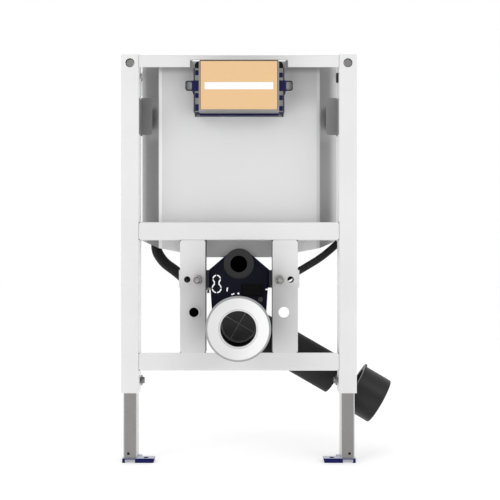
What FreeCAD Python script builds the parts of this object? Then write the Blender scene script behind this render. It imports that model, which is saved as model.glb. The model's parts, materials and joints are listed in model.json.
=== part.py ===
import FreeCAD, Part
import Sketcher
import math
import os

# Wall hung toilet frame
#
# Lengths are in millimetres. The pieces are drawn from one datum: X from the
# frame's centre line, Y from the front plane of the uprights towards the
# wall, Z from the floor with the feet as shown. Every piece is then moved by
# the same amount, so that the origin lies on the wall face of the left
# anchor plate, at its screw hole, with +Y into the wall and +Z up.

os.makedirs("parts", exist_ok=True)
doc = FreeCAD.newDocument("toilet_frame")
sheet = doc.addObject("Spreadsheet::Sheet", "Sizes")


class Size:
    """A length that knows its value and the sheet formula that gives it."""

    def __init__(self, value, formula):
        self.value = value
        self.formula = formula

    def mix(self, other, sign, order):
        if not isinstance(other, Size):
            other = Size(other, repr(other))
        first, second = (self, other) if order else (other, self)
        results = {
            "+": lambda p, q: p + q,
            "-": lambda p, q: p - q,
            "*": lambda p, q: p * q,
            "/": lambda p, q: p / q,
        }
        value = results[sign](first.value, second.value)
        return Size(value, f"({first.formula} {sign} {second.formula})")

    def __add__(self, other):
        return self.mix(other, "+", True)

    def __radd__(self, other):
        return self.mix(other, "+", False)

    def __sub__(self, other):
        return self.mix(other, "-", True)

    def __rsub__(self, other):
        return self.mix(other, "-", False)

    def __mul__(self, other):
        return self.mix(other, "*", True)

    def __rmul__(self, other):
        return self.mix(other, "*", False)

    def __truediv__(self, other):
        return self.mix(other, "/", True)

    def __neg__(self):
        return self.mix(0, "-", False)


# The driving dimensions

DIMENSIONS = {
    # frame of square tube
    "frame_width": 525,
    "profile": 40,
    "tube_wall": 2,
    "tube_corner": 3,
    "upright_length": 754,
    "upright_lift": 155,
    "middle_rail_lift": 495.5,
    "lower_rail_drop": 203,
    "top_rail_height": 27,
    "top_rail_step": 1.5,
    "window_front": 109,
    "window_rim": 10.5,
    "relief_hole": 1.6,
    "cap_depth": 8,
    "cap_bevel": 1,
    # anchors to the wall
    "wall_distance": 175,
    "anchor_drop": 19,
    "access_hole": 10,
    "anchor_rod": 5,
    "anchor_head": 9.5,
    "anchor_head_thickness": 5,
    "anchor_spacer": 8.5,
    "anchor_spacer_length": 29,
    "anchor_nut": 9.5,
    "anchor_nut_thickness": 8,
    "anchor_plate_width": 36,
    "anchor_plate_height": 80,
    "anchor_plate_sheet": 4,
    "anchor_plate_corner": 8,
    "anchor_screw_drop": 45,
    "anchor_screw_hole": 5.5,
    # legs, feet and clamp bolts
    "leg_clearance": 2,
    "leg_corner": 4,
    "clamp_clearance": 0.5,
    "leg_wall": 2,
    "leg_length": 400,
    "leg_pin_lift": 19.8,
    "leg_pin_hole": 3,
    "leg_pin_outset": 4,
    "foot_width": 71,
    "foot_outset": 2.8,
    "foot_height": 10,
    "foot_sheet": 2.5,
    "foot_ledge": 22,
    "foot_gap": 24,
    "foot_gap_inset": 4.5,
    "foot_slant": 2,
    "foot_hole": 5.5,
    "foot_hole_inset": 35,
    "clamp_lift": 181,
    "clamp_shank": 4,
    "clamp_washer": 11.8,
    "clamp_washer_thickness": 2,
    "clamp_collar": 6.5,
    "clamp_collar_length": 3,
    "clamp_head": 6.5,
    "clamp_head_height": 5.3,
    "hole_clearance": 0.4,
    # plates and studs for the pan
    "plate_inner": 74,
    "plate_width": 57,
    "plate_sheet": 3,
    "stud_height": 408,
    "stud_spacing": 180,
    "spare_spacing": 230,
    "stud_radius": 6,
    "stud_reach": 52,
    "stud_sleeve": 8.25,
    "stud_sleeve_step": 2,
    "stud_nut": 9.5,
    "stud_nut_height": 10,
    "stud_tail": 4,
    "spare_hole": 6.8,
    "pipe_hole": 12,
    "pipe_hole_x": 100,
    "pipe_hole_height": 335,
    "crossbar_overhang": 6,
    "crossbar_rise": 6,
    "crossbar_rise_half": 58,
    "crossbar_notch_half": 15,
    "crossbar_notch_height": 33,
    "crossbar_height": 40,
    "crossbar_sheet": 8,
    # flush and waste
    "flush_rise": 35,
    "flush_radius": 22.5,
    "flush_wall": 2.5,
    "flush_bend": 42,
    "flush_reach": 20,
    "flush_stub": 14,
    "flush_lip": 10,
    "flush_seal": 33,
    "flush_seal_bore": 18.5,
    "flush_seal_length": 26,
    "flush_seal_bevel": 3,
    "flush_depth": 100,
    "waste_fall": 100,
    "waste_radius": 45,
    "waste_wall": 3.5,
    "waste_depth": 104,
    "waste_bend": 55,
    "waste_length": 259,
    "waste_angle": 30,
    "waste_reach": 105,
    "socket_radius": 55,
    "socket_length": 48,
    "ring_radius": 69,
    "ring_face": 65,
    "ring_bore": 38,
    "ring_chamfer": 3.5,
    "ring_thickness": 12,
    "plug_depth": 20,
    "plug_thickness": 7,
    "plug_rim": 4,
    "plug_rim_height": 13,
    "plug_clearance": 0.4,
    "rib_height": 2,
    "rib_thickness": 2,
    "adapter_gap": 50,
    "adapter_radius": 55,
    "adapter_wall": 4,
    "adapter_length": 70,
    "adapter_lip": 60,
    "adapter_lip_thickness": 3.5,
    "adapter_edge": 3.6,
    "adapter_yaw": 6.5,
    "adapter_forward": 4,
    # moulded bracket that carries the pipes
    "bracket_sheet": 8,
    "bracket_half": 68,
    "bracket_crown": 34,
    "bracket_shoulder": 21,
    "bracket_waist": 60,
    "bracket_gap": 18,
    "bracket_bevel": 3,
    "bracket_wing": 73.5,
    "bracket_wing_sheet": 5,
    "bracket_slit": 3.2,
    "bracket_slit_width": 5.5,
    "bracket_slit_x": 60,
    "bracket_slit_drop": 5.5,
    "bolt_x": 70.5,
    "bolt_across": 5,
    "bolt_head": 5,
    "bolt_tip": 3,
    "knock_slot": 2.8,
    "knock_bridge": 2,
    "knock_x": 51,
    "knock_upper": 9.6,
    "knock_lower": 11.4,
    "knock_drop": 21,
    "knock_neck": 6.8,
    "knock_round": 11.6,
    "knock_round_x": 17.3,
    "knock_round_drop": 25,
    "knock_dot": 2.3,
    "knock_dot_x": 1.7,
    "knock_dot_drop": 33,
    "pocket_width": 50.5,
    "pocket_height": 29,
    "pocket_x": 4,
    "pocket_drop": 11.5,
    "pocket_depth": 6,
    "nut_across": 5.5,
    "nut_height": 5,
    "nut_x": 48.5,
    "nut_drop": 46.5,
    "outlet_round": 2.5,
    "pipe_clearance": 0.4,
    # cistern
    "tank_depth": 57,
    "tank_thickness": 90,
    "tank_front_inset": 37.5,
    "tank_rear_inset": 32.3,
    "tank_side_depth": 53,
    "tank_base": 457,
    "tank_flat": 75,
    "tank_front_rise": 21,
    "tank_rear_rise": 39,
    "tank_height": 451,
    "tank_edge": 8,
    "tank_corner": 12,
    "tank_top_edge": 3,
    # access shaft and its cover
    "cover_width": 172,
    "cover_height": 108,
    "cover_lift": 786.5,
    "stripe_width": 153,
    "stripe_height": 16,
    "stripe_lift": 831,
    "stripe_thickness": 0.6,
    "sleeve_wall": 3,
    "sleeve_depth": 34,
    "sill_height": 4,
    "sleeve_gap": 0.4,
    "shaft_sheet": 4,
    "shaft_foot": 4,
    "rack_width": 12,
    "rack_cheek": 1.6,
    "rack_setback": 7,
    "rack_face": 3,
    "rack_gap": 0.4,
    "tooth_width": 8.6,
    "tooth_height": 11,
    "tooth_offset": 5,
    "tooth_pitch": 30,
    "tooth_lift": 11.5,
    "tooth_proud": 0.5,
    "latch_height": 24,
    "latch_drop": 4,
    "latch_reach": 5,
    "hook_width": 9,
    "hook_height": 15,
    "hook_corner": 8.2,
    "ear_width": 16,
    "ear_height": 22.3,
    "ear_lift": 832.3,
    "ear_sheet": 4,
    "ear_depth": 20,
    "ear_corner": 5,
    "ear_rim": 1.6,
    "ear_dish": 2.5,
    # brackets and clips at the cistern's sides
    "side_bracket_width": 25,
    "side_bracket_height": 84,
    "side_bracket_lift": 735,
    "side_bracket_cheek": 79,
    "side_bracket_cheek_lift": 732,
    "side_bracket_slot": 32,
    "side_bracket_slot_width": 6,
    "side_bracket_sheet": 2,
    "side_bracket_corner": 8,
    "side_bracket_flange": 50,
    "side_bracket_flange_inset": 9,
    "clip_width": 5,
    "clip_height": 11,
    "long_clip_height": 20.5,
    "clip_top": 869,
    "clip_depth": 8,
    "clip_groove": 1.6,
    # conduit and hose
    "conduit_radius": 12.5,
    "conduit_wall": 1.7,
    "port_inset": 32.5,
    "port_depth": 27,
    "port_cover": 4,
    "port_length": 28,
    "hose_radius": 7,
    "hose_inset": 5,
    "hose_outset": 2,
    "hose_clip_wall": 3,
    "hose_clip_length": 12,
    "hose_clip_lift": 548,
    "grommet_radius": 13.4,
    "grommet_thickness": 3,
    "grommet_notch": 3,
    "seat_clearance": 0.3,
}

s = {}
for row, (name, value) in enumerate(DIMENSIONS.items(), start=1):
    sheet.set(f"A{row}", name)
    sheet.set(f"B{row}", str(value))
    sheet.setAlias(f"B{row}", name)
    s[name] = Size(value, f"Sizes.{name}")
doc.recompute()

# Sizes that follow from the driving ones

half_width = s["frame_width"] / 2
upright_x = half_width - s["profile"] / 2
inner_x = half_width - s["profile"]
upright_top = s["upright_lift"] + s["upright_length"]
anchor_height = upright_top - s["anchor_drop"]
screw_height = anchor_height - s["anchor_screw_drop"]
leg_side = s["profile"] - 2 * s["tube_wall"] - 2 * s["leg_clearance"]
leg_inset = (s["profile"] - leg_side) / 2
plate_x = s["plate_inner"] + s["plate_width"] / 2
lower_rail_lift = s["stud_height"] - s["lower_rail_drop"]
plate_bottom = lower_rail_lift + s["profile"]
plate_height = s["middle_rail_lift"] - plate_bottom
flush_height = s["stud_height"] + s["flush_rise"]
waste_height = s["stud_height"] - s["waste_fall"]
stud_x = s["stud_spacing"] / 2
spare_x = s["spare_spacing"] / 2
tank_back = s["tank_depth"] + s["tank_thickness"]
tank_front = inner_x - s["tank_front_inset"]
tank_rear = half_width - s["tank_rear_inset"]
tank_side = s["tank_depth"] + s["tank_side_depth"]
crossbar_back = s["profile"] + s["crossbar_sheet"]
crossbar_half = s["plate_inner"] + s["plate_width"] + s["crossbar_overhang"]
cover_x = s["cover_width"] / 2
cover_top = s["cover_lift"] + s["cover_height"]

# The datum as seen from the origin

datum_x = upright_x
datum_y = -s["wall_distance"]
datum_z = -screw_height

X_AXIS = FreeCAD.Vector(1, 0, 0)
Y_AXIS = FreeCAD.Vector(0, 1, 0)
Z_AXIS = FreeCAD.Vector(0, 0, 1)
TO_X = FreeCAD.Rotation(Y_AXIS, 90)
TO_Y = FreeCAD.Rotation(X_AXIS, -90)
nodes = []


def bind(thing, path, size):
    """Set one property from the sheet; a plain number stays as it is."""
    if isinstance(size, Size):
        thing.setExpression(path, size.formula)
    else:
        thing.setExpression(path, repr(float(size)))


def number(size):
    return size.value if isinstance(size, Size) else float(size)


def put(thing, x=0, y=0, z=0, turn=None):
    """Place an object in the drawing, from the datum."""
    base = FreeCAD.Vector(number(x), number(y), number(z))
    thing.Placement = FreeCAD.Placement(base, turn or FreeCAD.Rotation())
    for axis, size in (("x", x), ("y", y), ("z", z)):
        bind(thing, f"Placement.Base.{axis}", size)
    return thing


def keep(thing, name, x=0, y=0, z=0, turn=None):
    """Name a finished piece and move it from the datum to its place."""
    put(thing, x + datum_x, y + datum_y, z + datum_z, turn)
    thing.Label = name
    nodes.append(thing)
    return thing


# Solids from primitives

def box(dx, dy, dz, x=0, y=0, z=0):
    solid = doc.addObject("Part::Box", "Box")
    bind(solid, "Length", dx)
    bind(solid, "Width", dy)
    bind(solid, "Height", dz)
    return put(solid, x, y, z)


def rod(radius, length, x=0, y=0, z=0, turn=None):
    solid = doc.addObject("Part::Cylinder", "Rod")
    bind(solid, "Radius", radius)
    bind(solid, "Height", length)
    return put(solid, x, y, z, turn)


def hexagon(radius, length, x=0, y=0, z=0, turn=None):
    solid = doc.addObject("Part::Prism", "Hexagon")
    solid.Polygon = 6
    bind(solid, "Circumradius", radius / math.cos(math.pi / 6))
    bind(solid, "Height", length)
    return put(solid, x, y, z, turn)


def elbow(radius, bend, x=0, y=0, z=0, turn=None, angle=90):
    """A quarter of a ring, or another part of one, with its round section."""
    solid = doc.addObject("Part::Torus", "Elbow")
    bind(solid, "Radius1", bend)
    bind(solid, "Radius2", radius)
    solid.Angle1 = -180
    solid.Angle2 = 180
    solid.Angle3 = angle
    return put(solid, x, y, z, turn)


def join(*solids):
    joined = doc.addObject("Part::MultiFuse", "Joined")
    joined.Shapes = list(solids)
    joined.Refine = True
    return joined


def cut(base, *tools):
    taken = doc.addObject("Part::Cut", "Taken")
    taken.Base = base
    taken.Tool = tools[0] if len(tools) == 1 else join(*tools)
    taken.Refine = True
    return taken


# Bodies from sketches

def body(name):
    return doc.addObject("PartDesign::Body", name)


def sketch_on(part, plane, offset=0):
    """A sketch on one of the body's own origin planes, moved along its normal."""
    drawing = part.newObject("Sketcher::SketchObject", "Outline")
    support = [f for f in part.Origin.OriginFeatures if f.Role == plane][0]
    drawing.AttachmentSupport = [(support, "")]
    drawing.MapMode = "FlatFace"
    bind(drawing, "AttachmentOffset.Base.z", offset)
    return drawing


def fix_point(drawing, geometry, point, x, y):
    for kind, size in (("DistanceX", x), ("DistanceY", y)):
        rule = Sketcher.Constraint(kind, -1, 1, geometry, point, number(size))
        index = drawing.addConstraint(rule)
        bind(drawing, f"Constraints[{index}]", size)


def polygon(drawing, points):
    """A closed outline through points, each held by its two distances."""
    first = drawing.GeometryCount
    corners = [FreeCAD.Vector(number(x), number(y), 0) for x, y in points]
    count = len(corners)
    for n in range(count):
        line = Part.LineSegment(corners[n], corners[(n + 1) % count])
        drawing.addGeometry(line, False)
    for n in range(count):
        follows = first + (n + 1) % count
        drawing.addConstraint(
            Sketcher.Constraint("Coincident", first + n, 2, follows, 1)
        )
    for n, (x, y) in enumerate(points):
        fix_point(drawing, first + n, 1, x, y)


def rectangle(drawing, x, y, dx, dy):
    polygon(drawing, [(x, y), (x + dx, y), (x + dx, y + dy), (x, y + dy)])


def circle(drawing, x, y, radius):
    centre = FreeCAD.Vector(number(x), number(y), 0)
    ring = Part.Circle(centre, Z_AXIS, number(radius))
    index = drawing.addGeometry(ring, False)
    fix_point(drawing, index, 3, x, y)
    rule = drawing.addConstraint(
        Sketcher.Constraint("Radius", index, number(radius))
    )
    bind(drawing, f"Constraints[{rule}]", radius)


def pad(part, drawing, length, reverse=False):
    solid = part.newObject("PartDesign::Pad", "Pad")
    solid.Profile = drawing
    solid.Reversed = reverse
    bind(solid, "Length", length)
    return solid


def pocket(part, drawing, length, reverse=False):
    """A pocket that must take something away from the solid."""
    doc.recompute()
    before = part.Shape.Volume
    hole = part.newObject("PartDesign::Pocket", "Pocket")
    hole.Profile = drawing
    hole.Reversed = reverse
    bind(hole, "Length", length)
    doc.recompute()
    if part.Shape.Volume > before - 0.01:
        raise RuntimeError(f"{part.Name}: the pocket cuts nothing")
    return hole


def edges_along(shape, direction, chosen):
    """Names of the straight edges along a direction that a test accepts."""
    names = []
    for n, edge in enumerate(shape.Edges, start=1):
        if not isinstance(edge.Curve, (Part.Line, Part.LineSegment)):
            continue
        if abs(edge.tangentAt(edge.FirstParameter).dot(direction)) < 0.9999:
            continue
        if chosen(edge.CenterOfMass):
            names.append(f"Edge{n}")
    return names


def tube(name, plane, width, depth, wall, corner, length, offset, x, y):
    """A rectangular tube: outline and bore in one sketch, corners rounded."""
    part = body(name)
    drawing = sketch_on(part, plane, offset)
    rectangle(drawing, x, y, width, depth)
    pad(part, drawing, length)
    along = Z_AXIS if plane == "XY_Plane" else X_AXIS
    fillet(part, straight_edges(part, along, lambda centre: True), corner)
    bore = sketch_on(part, plane, offset)
    rectangle(bore, x + wall, y + wall, width - 2 * wall, depth - 2 * wall)
    pocket(part, bore, length, reverse=True)
    return part


def turned(name, points):
    """A body of revolution about the Y axis from its half section."""
    part = body(name)
    drawing = sketch_on(part, "XY_Plane", 0)
    polygon(drawing, points)
    solid = part.newObject("PartDesign::Revolution", "Turned")
    solid.Profile = drawing
    solid.ReferenceAxis = (drawing, ["V_Axis"])
    solid.Angle = 360
    doc.recompute()
    return part


def fillet(part, names, radius):
    base = part.Tip
    rounded = part.newObject("PartDesign::Fillet", "Round")
    rounded.Base = (base, names)
    bind(rounded, "Radius", radius)
    doc.recompute()
    return rounded


def chamfer(part, names, size):
    base = part.Tip
    slope = part.newObject("PartDesign::Chamfer", "Bevel")
    slope.Base = (base, names)
    bind(slope, "Size", size)
    doc.recompute()
    return slope


def straight_edges(part, direction, chosen):
    doc.recompute()
    names = edges_along(part.Shape, direction, chosen)
    if not names:
        raise RuntimeError(f"{part.Name}: no edge to round")
    return names


def round_edges_at(part, y, radius):
    """Names of the whole circles of one radius in the plane at y."""
    doc.recompute()
    names = []
    for n, edge in enumerate(part.Shape.Edges, start=1):
        if not isinstance(edge.Curve, Part.Circle):
            continue
        level = abs(edge.CenterOfMass.y - number(y))
        if level < 0.01 and abs(edge.Curve.Radius - number(radius)) < 0.01:
            names.append(f"Edge{n}")
    if not names:
        raise RuntimeError(f"{part.Name}: no round edge")
    return names


# Uprights

def upright(name, side):
    left = side * upright_x - s["profile"] / 2
    part = tube(
        name, "XY_Plane", s["profile"], s["profile"], s["tube_wall"],
        s["tube_corner"], s["upright_length"], s["upright_lift"], left, 0,
    )
    # access hole in the front wall, rod hole in the rear wall
    front = sketch_on(part, "XZ_Plane", 0)
    circle(front, side * upright_x, anchor_height, s["access_hole"])
    pocket(part, front, s["profile"] / 2)
    rear = sketch_on(part, "XZ_Plane", -s["profile"] / 2)
    circle(rear, side * upright_x, anchor_height,
           s["anchor_rod"] + s["hole_clearance"])
    pocket(part, rear, s["profile"])
    # hole for the clamp bolt in the wall towards the middle
    bolt = sketch_on(part, "YZ_Plane", side * upright_x)
    circle(bolt, s["profile"] / 2, s["clamp_lift"],
           s["clamp_shank"] + s["hole_clearance"])
    pocket(part, bolt, s["profile"], reverse=(side < 0))
    return keep(part, name)


left_upright = upright("left_upright", -1)
right_upright = upright("right_upright", 1)

# Caps in the open tops of the uprights

def end_cap(name, side):
    part = body(f"{name}_plug")
    drawing = sketch_on(part, "XY_Plane", upright_top - s["cap_depth"])
    room = s["profile"] - 2 * s["tube_wall"]
    rectangle(drawing, side * upright_x - room / 2, s["tube_wall"], room, room)
    pad(part, drawing, s["cap_depth"])
    doc.recompute()
    level = number(upright_top) - 0.01
    rim = [f"Edge{n}" for n, edge in enumerate(part.Shape.Edges, start=1)
           if edge.CenterOfMass.z > level]
    chamfer(part, rim, s["cap_bevel"])
    below = sketch_on(part, "XY_Plane", upright_top - s["cap_depth"])
    wall = 2 * s["tube_wall"]
    rectangle(below, side * upright_x - room / 2 + wall / 2,
              s["tube_wall"] + wall / 2, room - wall, room - wall)
    pocket(part, below, s["cap_depth"] - wall / 2, reverse=True)
    return keep(part, name)


end_cap("left_cap", -1)
end_cap("right_cap", 1)

# Rails between the uprights: the middle one is tube, the others are angle

def angle_rail(name, corner, up, height):
    """Sheet bent once: a front flange and a level one that runs back."""
    part = body(name)
    drawing = sketch_on(part, "YZ_Plane", -inner_x)
    wall = s["tube_wall"]
    polygon(drawing, [
        (0, corner), (s["profile"], corner),
        (s["profile"], corner + up * wall), (wall, corner + up * wall),
        (wall, corner + up * height), (0, corner + up * height),
    ])
    pad(part, drawing, 2 * inner_x)
    bend = number(corner)
    fillet(part, straight_edges(
        part, X_AXIS,
        lambda centre: centre.y < 0.01 and abs(centre.z - bend) < 0.01
    ), s["tube_corner"])
    return part


middle_rail = tube(
    "middle_rail", "YZ_Plane", s["profile"], s["profile"], s["tube_wall"],
    s["tube_corner"], 2 * inner_x, -inner_x, 0, s["middle_rail_lift"],
)
lower_rail = angle_rail("lower_rail", lower_rail_lift, 1, s["profile"])
for rail, lift in (
    (middle_rail, s["middle_rail_lift"]), (lower_rail, lower_rail_lift),
):
    relief = sketch_on(rail, "XZ_Plane", 0)
    for side in (-1, 1):
        for level in (lift, lift + s["profile"]):
            circle(relief, side * inner_x, level, s["relief_hole"])
    pocket(rail, relief, s["tube_corner"])
keep(middle_rail, "middle_rail")
keep(lower_rail, "lower_rail")

top_lift = upright_top - s["top_rail_step"] - s["top_rail_height"]
top_rail = angle_rail("top_rail", top_lift + s["top_rail_height"], -1,
                      s["top_rail_height"])
# window for the access shaft, open below, with a rim left along the top
window = sketch_on(top_rail, "XY_Plane", top_lift - 1)
rectangle(window, -s["window_front"], -1, 2 * s["window_front"],
          s["tube_wall"] + 2)
pocket(top_rail, window, s["top_rail_height"] - s["window_rim"] + 1,
       reverse=True)
keep(top_rail, "top_rail")

# Pan plates: channels open to the rear

def pan_plate(name, side):
    part = body(name)
    drawing = sketch_on(part, "XY_Plane", plate_bottom)
    left = side * plate_x - s["plate_width"] / 2
    right = left + s["plate_width"]
    wall = s["plate_sheet"]
    back = s["profile"]
    polygon(drawing, [
        (left, 0), (right, 0), (right, back), (right - wall, back),
        (right - wall, wall), (left + wall, wall), (left + wall, back),
        (left, back),
    ])
    pad(part, drawing, plate_height)
    holes = sketch_on(part, "XZ_Plane", 0)
    circle(holes, side * stud_x, s["stud_height"],
           s["stud_radius"] + s["hole_clearance"])
    circle(holes, side * spare_x, s["stud_height"], s["spare_hole"])
    circle(holes, side * s["pipe_hole_x"], s["pipe_hole_height"],
           s["pipe_hole"])
    for corner in (left, right):
        for level in (plate_bottom, s["middle_rail_lift"]):
            circle(holes, corner, level, s["relief_hole"])
    pocket(part, holes, wall)
    return keep(part, name)


left_plate = pan_plate("left_pan_plate", -1)
right_plate = pan_plate("right_pan_plate", 1)

crossbar = body("crossbar")
bar = sketch_on(crossbar, "XZ_Plane", -s["profile"])
bar_base = s["stud_height"] - s["crossbar_height"] / 2
bar_top = bar_base + s["crossbar_height"]
notch_top = bar_base + s["crossbar_notch_height"]
polygon(bar, [
    (-crossbar_half, bar_base), (-crossbar_half, bar_top),
    (-s["crossbar_rise_half"] - s["crossbar_rise"], bar_top),
    (-s["crossbar_rise_half"], bar_top + s["crossbar_rise"]),
    (s["crossbar_rise_half"], bar_top + s["crossbar_rise"]),
    (s["crossbar_rise_half"] + s["crossbar_rise"], bar_top),
    (crossbar_half, bar_top), (crossbar_half, bar_base),
    (-s["knock_x"] + s["crossbar_notch_half"], bar_base),
    (-s["knock_x"] + s["crossbar_notch_half"], notch_top),
    (-s["knock_x"] - s["crossbar_notch_half"], notch_top),
    (-s["knock_x"] - s["crossbar_notch_half"], bar_base),
])
for side in (-1, 1):
    circle(bar, side * stud_x, s["stud_height"],
           s["stud_radius"] + s["hole_clearance"])
    circle(bar, side * spare_x, s["stud_height"], s["spare_hole"])
pad(crossbar, bar, s["crossbar_sheet"], reverse=True)
notch = sketch_on(crossbar, "XZ_Plane", -s["profile"])
circle(notch, 0, flush_height, s["flush_radius"] + s["pipe_clearance"])
pocket(crossbar, notch, s["crossbar_sheet"])
keep(crossbar, "crossbar")

# Studs for the pan, each with its nuts and sleeve

def pan_stud(name, side):
    x = side * stud_x
    z = s["stud_height"]
    whole = s["stud_reach"] + crossbar_back + s["stud_nut_height"] + s["stud_tail"]
    sleeve = s["stud_reach"] - s["stud_sleeve_step"]
    return keep(join(
        rod(s["stud_radius"], whole, x, -s["stud_reach"], z, TO_Y),
        rod(s["stud_sleeve"], sleeve, x, -sleeve, z, TO_Y),
        hexagon(s["stud_nut"], s["stud_nut_height"], x,
                -s["stud_nut_height"], z, TO_Y),
        hexagon(s["stud_nut"], s["stud_nut_height"], x, crossbar_back, z,
                TO_Y),
    ), name)


for name, side in (("left", -1), ("right", 1)):
    pan_stud(f"{name}_pan_stud", side)

# Moulded bracket for the flush and waste pipes

bracket = body("bracket_plate")
bracket_front = s["profile"] - s["bracket_sheet"]
plan = sketch_on(bracket, "XZ_Plane", -bracket_front)
half = s["bracket_half"]
shoulder = s["stud_height"] + s["bracket_shoulder"]
foot = plate_bottom + s["bracket_gap"]
tangent_x = 0.76 * s["bracket_crown"]
tangent_z = flush_height + 0.65 * s["bracket_crown"]
polygon(plan, [
    (-tangent_x, tangent_z), (-half, shoulder),
    (-s["bracket_waist"], waste_height), (-s["bracket_waist"], foot),
    (s["bracket_waist"], foot), (s["bracket_waist"], waste_height),
    (half, shoulder), (tangent_x, tangent_z),
])
pad(bracket, plan, s["bracket_sheet"], reverse=True)
crown = sketch_on(bracket, "XZ_Plane", -bracket_front)
circle(crown, 0, flush_height, s["bracket_crown"])
pad(bracket, crown, s["bracket_sheet"], reverse=True)
doc.recompute()
rim = []
for n, edge in enumerate(bracket.Shape.Edges, start=1):
    level = abs(edge.CenterOfMass.y - bracket_front.value)
    if level < 0.01 and edge.CenterOfMass.z > number(foot) + 1:
        rim.append(f"Edge{n}")
chamfer(bracket, rim, s["bracket_bevel"])
pipes = sketch_on(bracket, "XZ_Plane", -bracket_front)
circle(pipes, 0, flush_height, s["flush_radius"] + s["pipe_clearance"])
circle(pipes, 0, waste_height, s["waste_radius"] + s["pipe_clearance"])
pocket(bracket, pipes, s["bracket_sheet"])
recess = sketch_on(bracket, "XZ_Plane", -bracket_front)
rectangle(recess, s["pocket_x"],
          s["stud_height"] - s["pocket_drop"] - s["pocket_height"],
          s["pocket_width"], s["pocket_height"])
pocket(bracket, recess, s["pocket_depth"])


# knock-outs: thin slots round a tab, left whole at their bridges
def through(radius, x, z):
    return rod(radius, s["bracket_sheet"] + 2, x, bracket_front - 1, z, TO_Y)


def bridge(dx, dz, x, z):
    return box(dx, s["bracket_sheet"] + 4, dz, x - dx / 2, bracket_front - 2,
               z - dz / 2)


knock_z = s["stud_height"]
low_z = knock_z - s["knock_drop"]



def neck(half_wide):
    return box(2 * half_wide, s["bracket_sheet"] + 2, s["knock_drop"],
               -s["knock_x"] - half_wide, bracket_front - 1, low_z)


slot = cut(
    join(through(s["knock_upper"], -s["knock_x"], knock_z),
         through(s["knock_lower"], -s["knock_x"], low_z),
         neck(s["knock_neck"])),
    join(through(s["knock_upper"] - s["knock_slot"], -s["knock_x"], knock_z),
         through(s["knock_lower"] - s["knock_slot"], -s["knock_x"], low_z),
         neck(s["knock_neck"] - s["knock_slot"])),
)
tie = s["knock_bridge"]
wide = 3 * s["knock_lower"]
keyhole = cut(
    slot,
    bridge(tie, 2 * wide, -s["knock_x"], knock_z),
    bridge(wide, tie, -s["knock_x"], knock_z),
    bridge(wide, tie, -s["knock_x"], low_z),
)
round_z = s["stud_height"] - s["knock_round_drop"]
disc = cut(
    through(s["knock_round"], -s["knock_round_x"], round_z),
    through(s["knock_round"] - s["knock_slot"], -s["knock_round_x"],
            round_z),
)
# only two short arcs of it are open, one at the left and one at the bottom
round_x = -s["knock_round_x"]
arm = s["knock_round"]
disc = cut(
    disc,
    bridge(3 * arm, arm, round_x, round_z + arm),
    bridge(arm, 3 * arm, round_x + 1.05 * arm, round_z),
    bridge(2 * arm, 2 * arm, round_x + 0.4 * arm, round_z + 0.4 * arm),
    bridge(1.2 * arm, arm, round_x - 0.65 * arm, round_z - 0.8 * arm),
)
dot = through(s["knock_dot"], -s["knock_dot_x"],
              s["stud_height"] - s["knock_dot_drop"])
slit = box(s["bracket_slit_width"], s["profile"], s["bracket_slit"],
           s["bracket_slit_x"], bracket_front - 1,
           bar_base - s["bracket_slit_drop"])
wings = box(2 * s["bracket_wing"], s["bracket_wing_sheet"],
            s["crossbar_height"], -s["bracket_wing"],
            s["profile"] - s["bracket_wing_sheet"], bar_base)
inside = [
    rod(s["flush_radius"] + s["pipe_clearance"], s["profile"], 0, 0,
        flush_height, TO_Y),
    box(s["pocket_width"], s["bracket_sheet"], s["pocket_height"],
        s["pocket_x"], s["profile"] - 2 - s["bracket_sheet"],
        s["stud_height"] - s["pocket_drop"] - s["pocket_height"]),
]
plate = join(bracket, cut(wings, *inside))
keep(cut(plate, keyhole, disc, dot, slit), "waste_bracket")

bolt_y = s["profile"] + s["crossbar_sheet"] / 2
keep(join(
    hexagon(s["bolt_across"], s["bolt_head"], -s["bolt_x"], bolt_y,
            bar_base - s["bolt_head"]),
    rod(s["bolt_tip"], 1.6 * s["bolt_head"], -s["bolt_x"], bolt_y,
        bar_base - 2.6 * s["bolt_head"]),
), "bracket_bolt")

nut = hexagon(s["nut_across"], s["nut_height"], s["nut_x"],
              bracket_front - s["nut_height"],
              s["stud_height"] - s["nut_drop"], TO_Y)
tip = rod(0.55 * s["nut_across"], 2 * s["nut_height"], s["nut_x"],
          bracket_front - 1.5 * s["nut_height"],
          s["stud_height"] - s["nut_drop"], TO_Y)
keep(cut(join(nut, tip), box(
    4 * s["nut_across"], s["profile"], 4 * s["nut_across"],
    s["nut_x"] - 2 * s["nut_across"], bracket_front,
    s["stud_height"] - s["nut_drop"] - 2 * s["nut_across"],
)), "bracket_nut")

# Flush pipe: forwards from the cistern's outlet, with a rubber seal

def flush_solid(radius, reach, rise):
    """The flush pipe's path as a solid of one radius."""
    straight = s["flush_depth"] - s["flush_bend"] + reach
    along = rod(radius, straight, 0, -reach, flush_height, TO_Y)
    bend = elbow(radius, s["flush_bend"], 0,
                 s["flush_depth"] - s["flush_bend"],
                 flush_height + s["flush_bend"], TO_X)
    up = rod(radius, rise, 0, s["flush_depth"],
             flush_height + s["flush_bend"])
    return [along, bend, up]


outer = join(*flush_solid(s["flush_radius"], s["flush_reach"], s["flush_stub"]))
inner = join(*flush_solid(s["flush_radius"] - s["flush_wall"],
                          s["flush_reach"], s["flush_stub"]))
keep(cut(outer, inner), "flush_pipe")

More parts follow.
